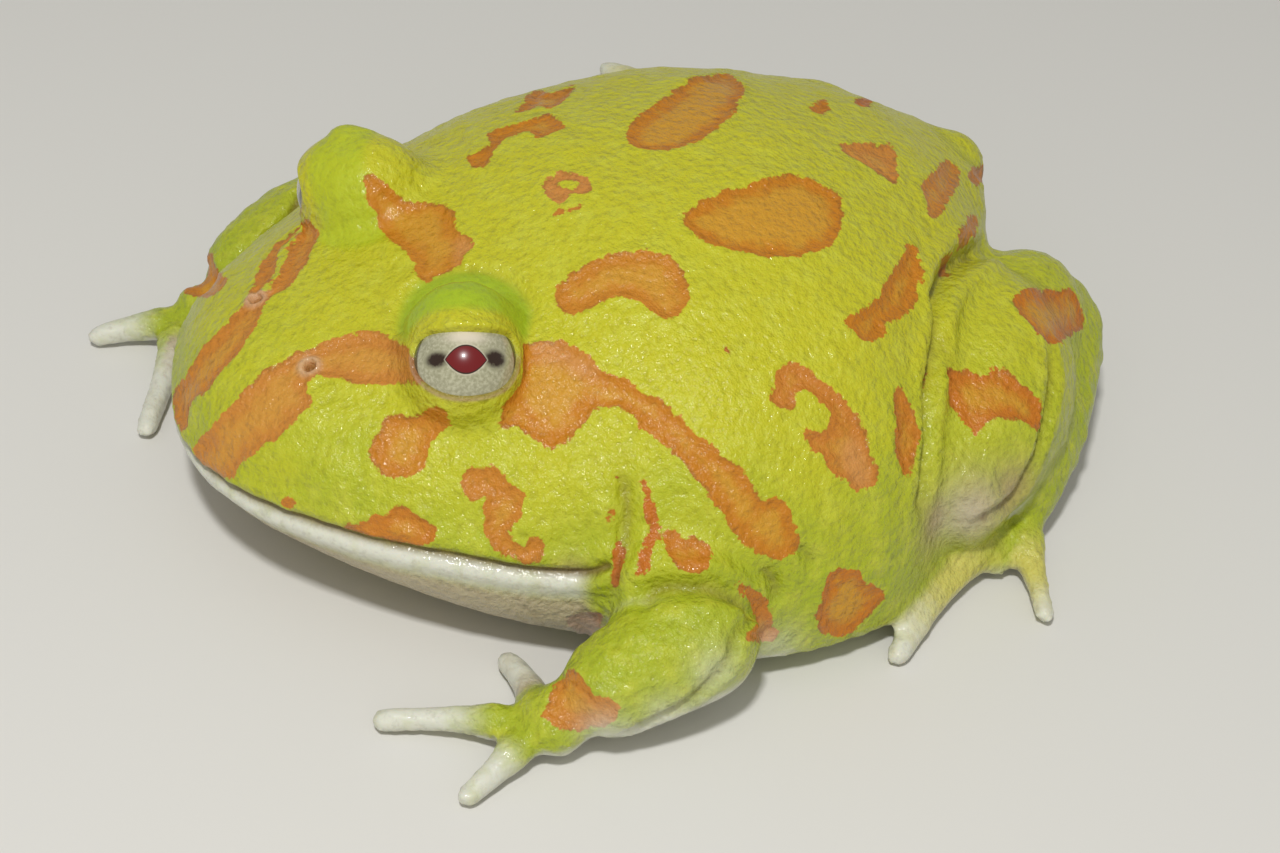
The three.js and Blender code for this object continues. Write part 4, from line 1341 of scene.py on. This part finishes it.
class FrogStageSettings(bpy.types.PropertyGroup):
    """Camera, floor and light."""
    distance: number_property("Camera distance", "From the camera to the frog's middle", CAMERA_DISTANCE * MM,
                              unit="LENGTH")
    floor_hex: colour_property("Floor", "Pale floor", "#dcdad4")
    key: number_property("Key light", "Strength of the small light above", 2.35, unit="POWER")
    fill: number_property("Fill light", "Strength of the wide light in front", 1.6, unit="POWER")
    sky: number_property("Sky", "Strength of the light from all round", 0.34)


class FROG_OT_skin(bpy.types.Operator):
    """Make the seamless skin with its folds, lids, markings and granules"""
    bl_idname = "frog.skin"
    bl_label = "Skin"

    def execute(self, context):
        settings = context.scene.frog_skin
        points, triangles = skin_surface(settings)
        surface = Surface(points, triangles)
        for with_mouth in (True, False):
            fine, on_mouth = fine_places(surface, mouth_line(surface))
            wanted = fine | on_mouth if with_mouth else fine
            points, triangles = refine(surface.points, triangles, wanted)
            surface = Surface(relax(points, triangles, rounds=2, fill=0.3, ease=0.3), triangles)
        if len(triangles) >= MOST_TRIANGLES:
            raise RuntimeError(f"The skin has {len(triangles)} triangles, too many for one piece")
        marks = {name: np.zeros(len(surface.points)) for name in SKIN_MARKS}
        paint_marks(surface, marks)
        paint_tints(surface, marks)
        lift = press_lines(surface, mouth_line(surface), marks) + press_nostrils(surface, marks)
        points = surface.points + surface.normals * lift[:, None]
        points = roughen(points, surface.normals, marks)
        points = carve_eyes(points, marks)
        points[:, 2] = np.maximum(points[:, 2], 0)
        mesh = make_mesh("skin", points, triangles.tolist())
        skin = finished_piece("skin", mesh, marks, moist_frog_skin(settings))
        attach(skin, "root")
        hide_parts(*FLESH)
        return {"FINISHED"}


class FROG_OT_eyes(bpy.types.Operator):
    """Make the two wet eyeballs"""
    bl_idname = "frog.eyes"
    bl_label = "Eyes"

    def execute(self, context):
        material = wet_eyeball(context.scene.frog_eyes)
        for side in EYES:
            mesh, marks = eyeball(side)
            ball = finished_piece(f"eyeball_{side}", mesh, marks, material)
            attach(ball, "root")
            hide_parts(f"eye_{side}")
        return {"FINISHED"}


def add_light(name, place, size, power, glossy):
    """A square area light that faces the frog's middle, and is mirrored in wet surfaces only if glossy."""
    data = bpy.data.lights.new(name, "AREA")
    data.energy = power
    data.size = size
    light = bpy.data.objects.new(name, data)
    light.location = place
    light.visible_glossy = glossy
    light.rotation_euler = (Vector(CAMERA_TARGET * MM) - Vector(place)).to_track_quat("-Z", "Y").to_euler()
    bpy.context.scene.collection.objects.link(light)


class FROG_OT_stage(bpy.types.Operator):
    """Set the pale floor, the soft lights and the camera"""
    bl_idname = "frog.stage"
    bl_label = "Stage"

    def execute(self, context):
        settings = context.scene.frog_stage
        signs = np.array([(-1, -1, 0), (1, -1, 0), (1, 1, 0), (-1, 1, 0)], float)
        corners = signs * FLOOR_HALF - (0, 0, FLOOR_DROP)
        floor = make_piece("floor", make_mesh("floor", corners, [(0, 1, 2, 3)]))
        floor.data.materials.append(matt_paper_floor(settings))
        world = bpy.data.worlds.new("studio")
        world.use_nodes = True
        background = world.node_tree.nodes["Background"]
        background.inputs["Color"].default_value = SKY_COLOUR
        background.inputs["Strength"].default_value = settings.sky
        context.scene.world = world
        context.scene.view_settings.view_transform = "Standard"
        add_light("key", KEY_PLACE, KEY_SIZE, settings.key, glossy=True)
        add_light("fill", FILL_PLACE, FILL_SIZE, settings.fill, glossy=False)
        data = bpy.data.cameras.new("camera")
        data.sensor_width = SENSOR_WIDTH
        data.lens = FOCAL_PIXELS / PHOTO_WIDTH * SENSOR_WIDTH
        data.clip_start = CLIP_START
        camera = bpy.data.objects.new("camera", data)
        place = CAMERA_TARGET * MM + VIEW_BACK * settings.distance
        columns = np.column_stack([VIEW_RIGHT, VIEW_UP, VIEW_BACK, place])
        camera.matrix_world = Matrix(np.vstack([columns, (0, 0, 0, 1)]).tolist())
        context.scene.collection.objects.link(camera)
        context.scene.camera = camera
        return {"FINISHED"}


class FROG_PT_panel(bpy.types.Panel):
    """Lists the steps that make the frog"""
    bl_label = "Horned frog"
    bl_idname = "FROG_PT_panel"
    bl_space_type = "VIEW_3D"
    bl_region_type = "UI"
    bl_category = "Frog"

    def draw(self, context):
        for group in SETTINGS:
            settings = getattr(context.scene, group)
            for name in settings.bl_rna.properties.keys():
                if name not in ("rna_type", "name"):
                    self.layout.prop(settings, name)
            self.layout.operator(group.replace("_", "."))


# The scene's groups of settings, each named for its operator
SETTINGS = {"frog_stage": FrogStageSettings, "frog_skin": FrogSkinSettings, "frog_eyes": FrogEyeSettings}
CLASSES = (*SETTINGS.values(), FROG_OT_stage, FROG_OT_skin, FROG_OT_eyes, FROG_PT_panel)


def register():
    """Registers the classes and gives each scene its settings."""
    for cls in CLASSES:
        bpy.utils.register_class(cls)
    for group, cls in SETTINGS.items():
        setattr(bpy.types.Scene, group, bpy.props.PointerProperty(type=cls))


def unregister():
    """Takes the settings and the classes away again."""
    for group in SETTINGS:
        delattr(bpy.types.Scene, group)
    for cls in reversed(CLASSES):
        bpy.utils.unregister_class(cls)


def main():
    """Makes the whole scene."""
    register()
    bpy.ops.frog.stage()
    bpy.ops.frog.skin()
    bpy.ops.frog.eyes()


if __name__ == "__main__":
    main()
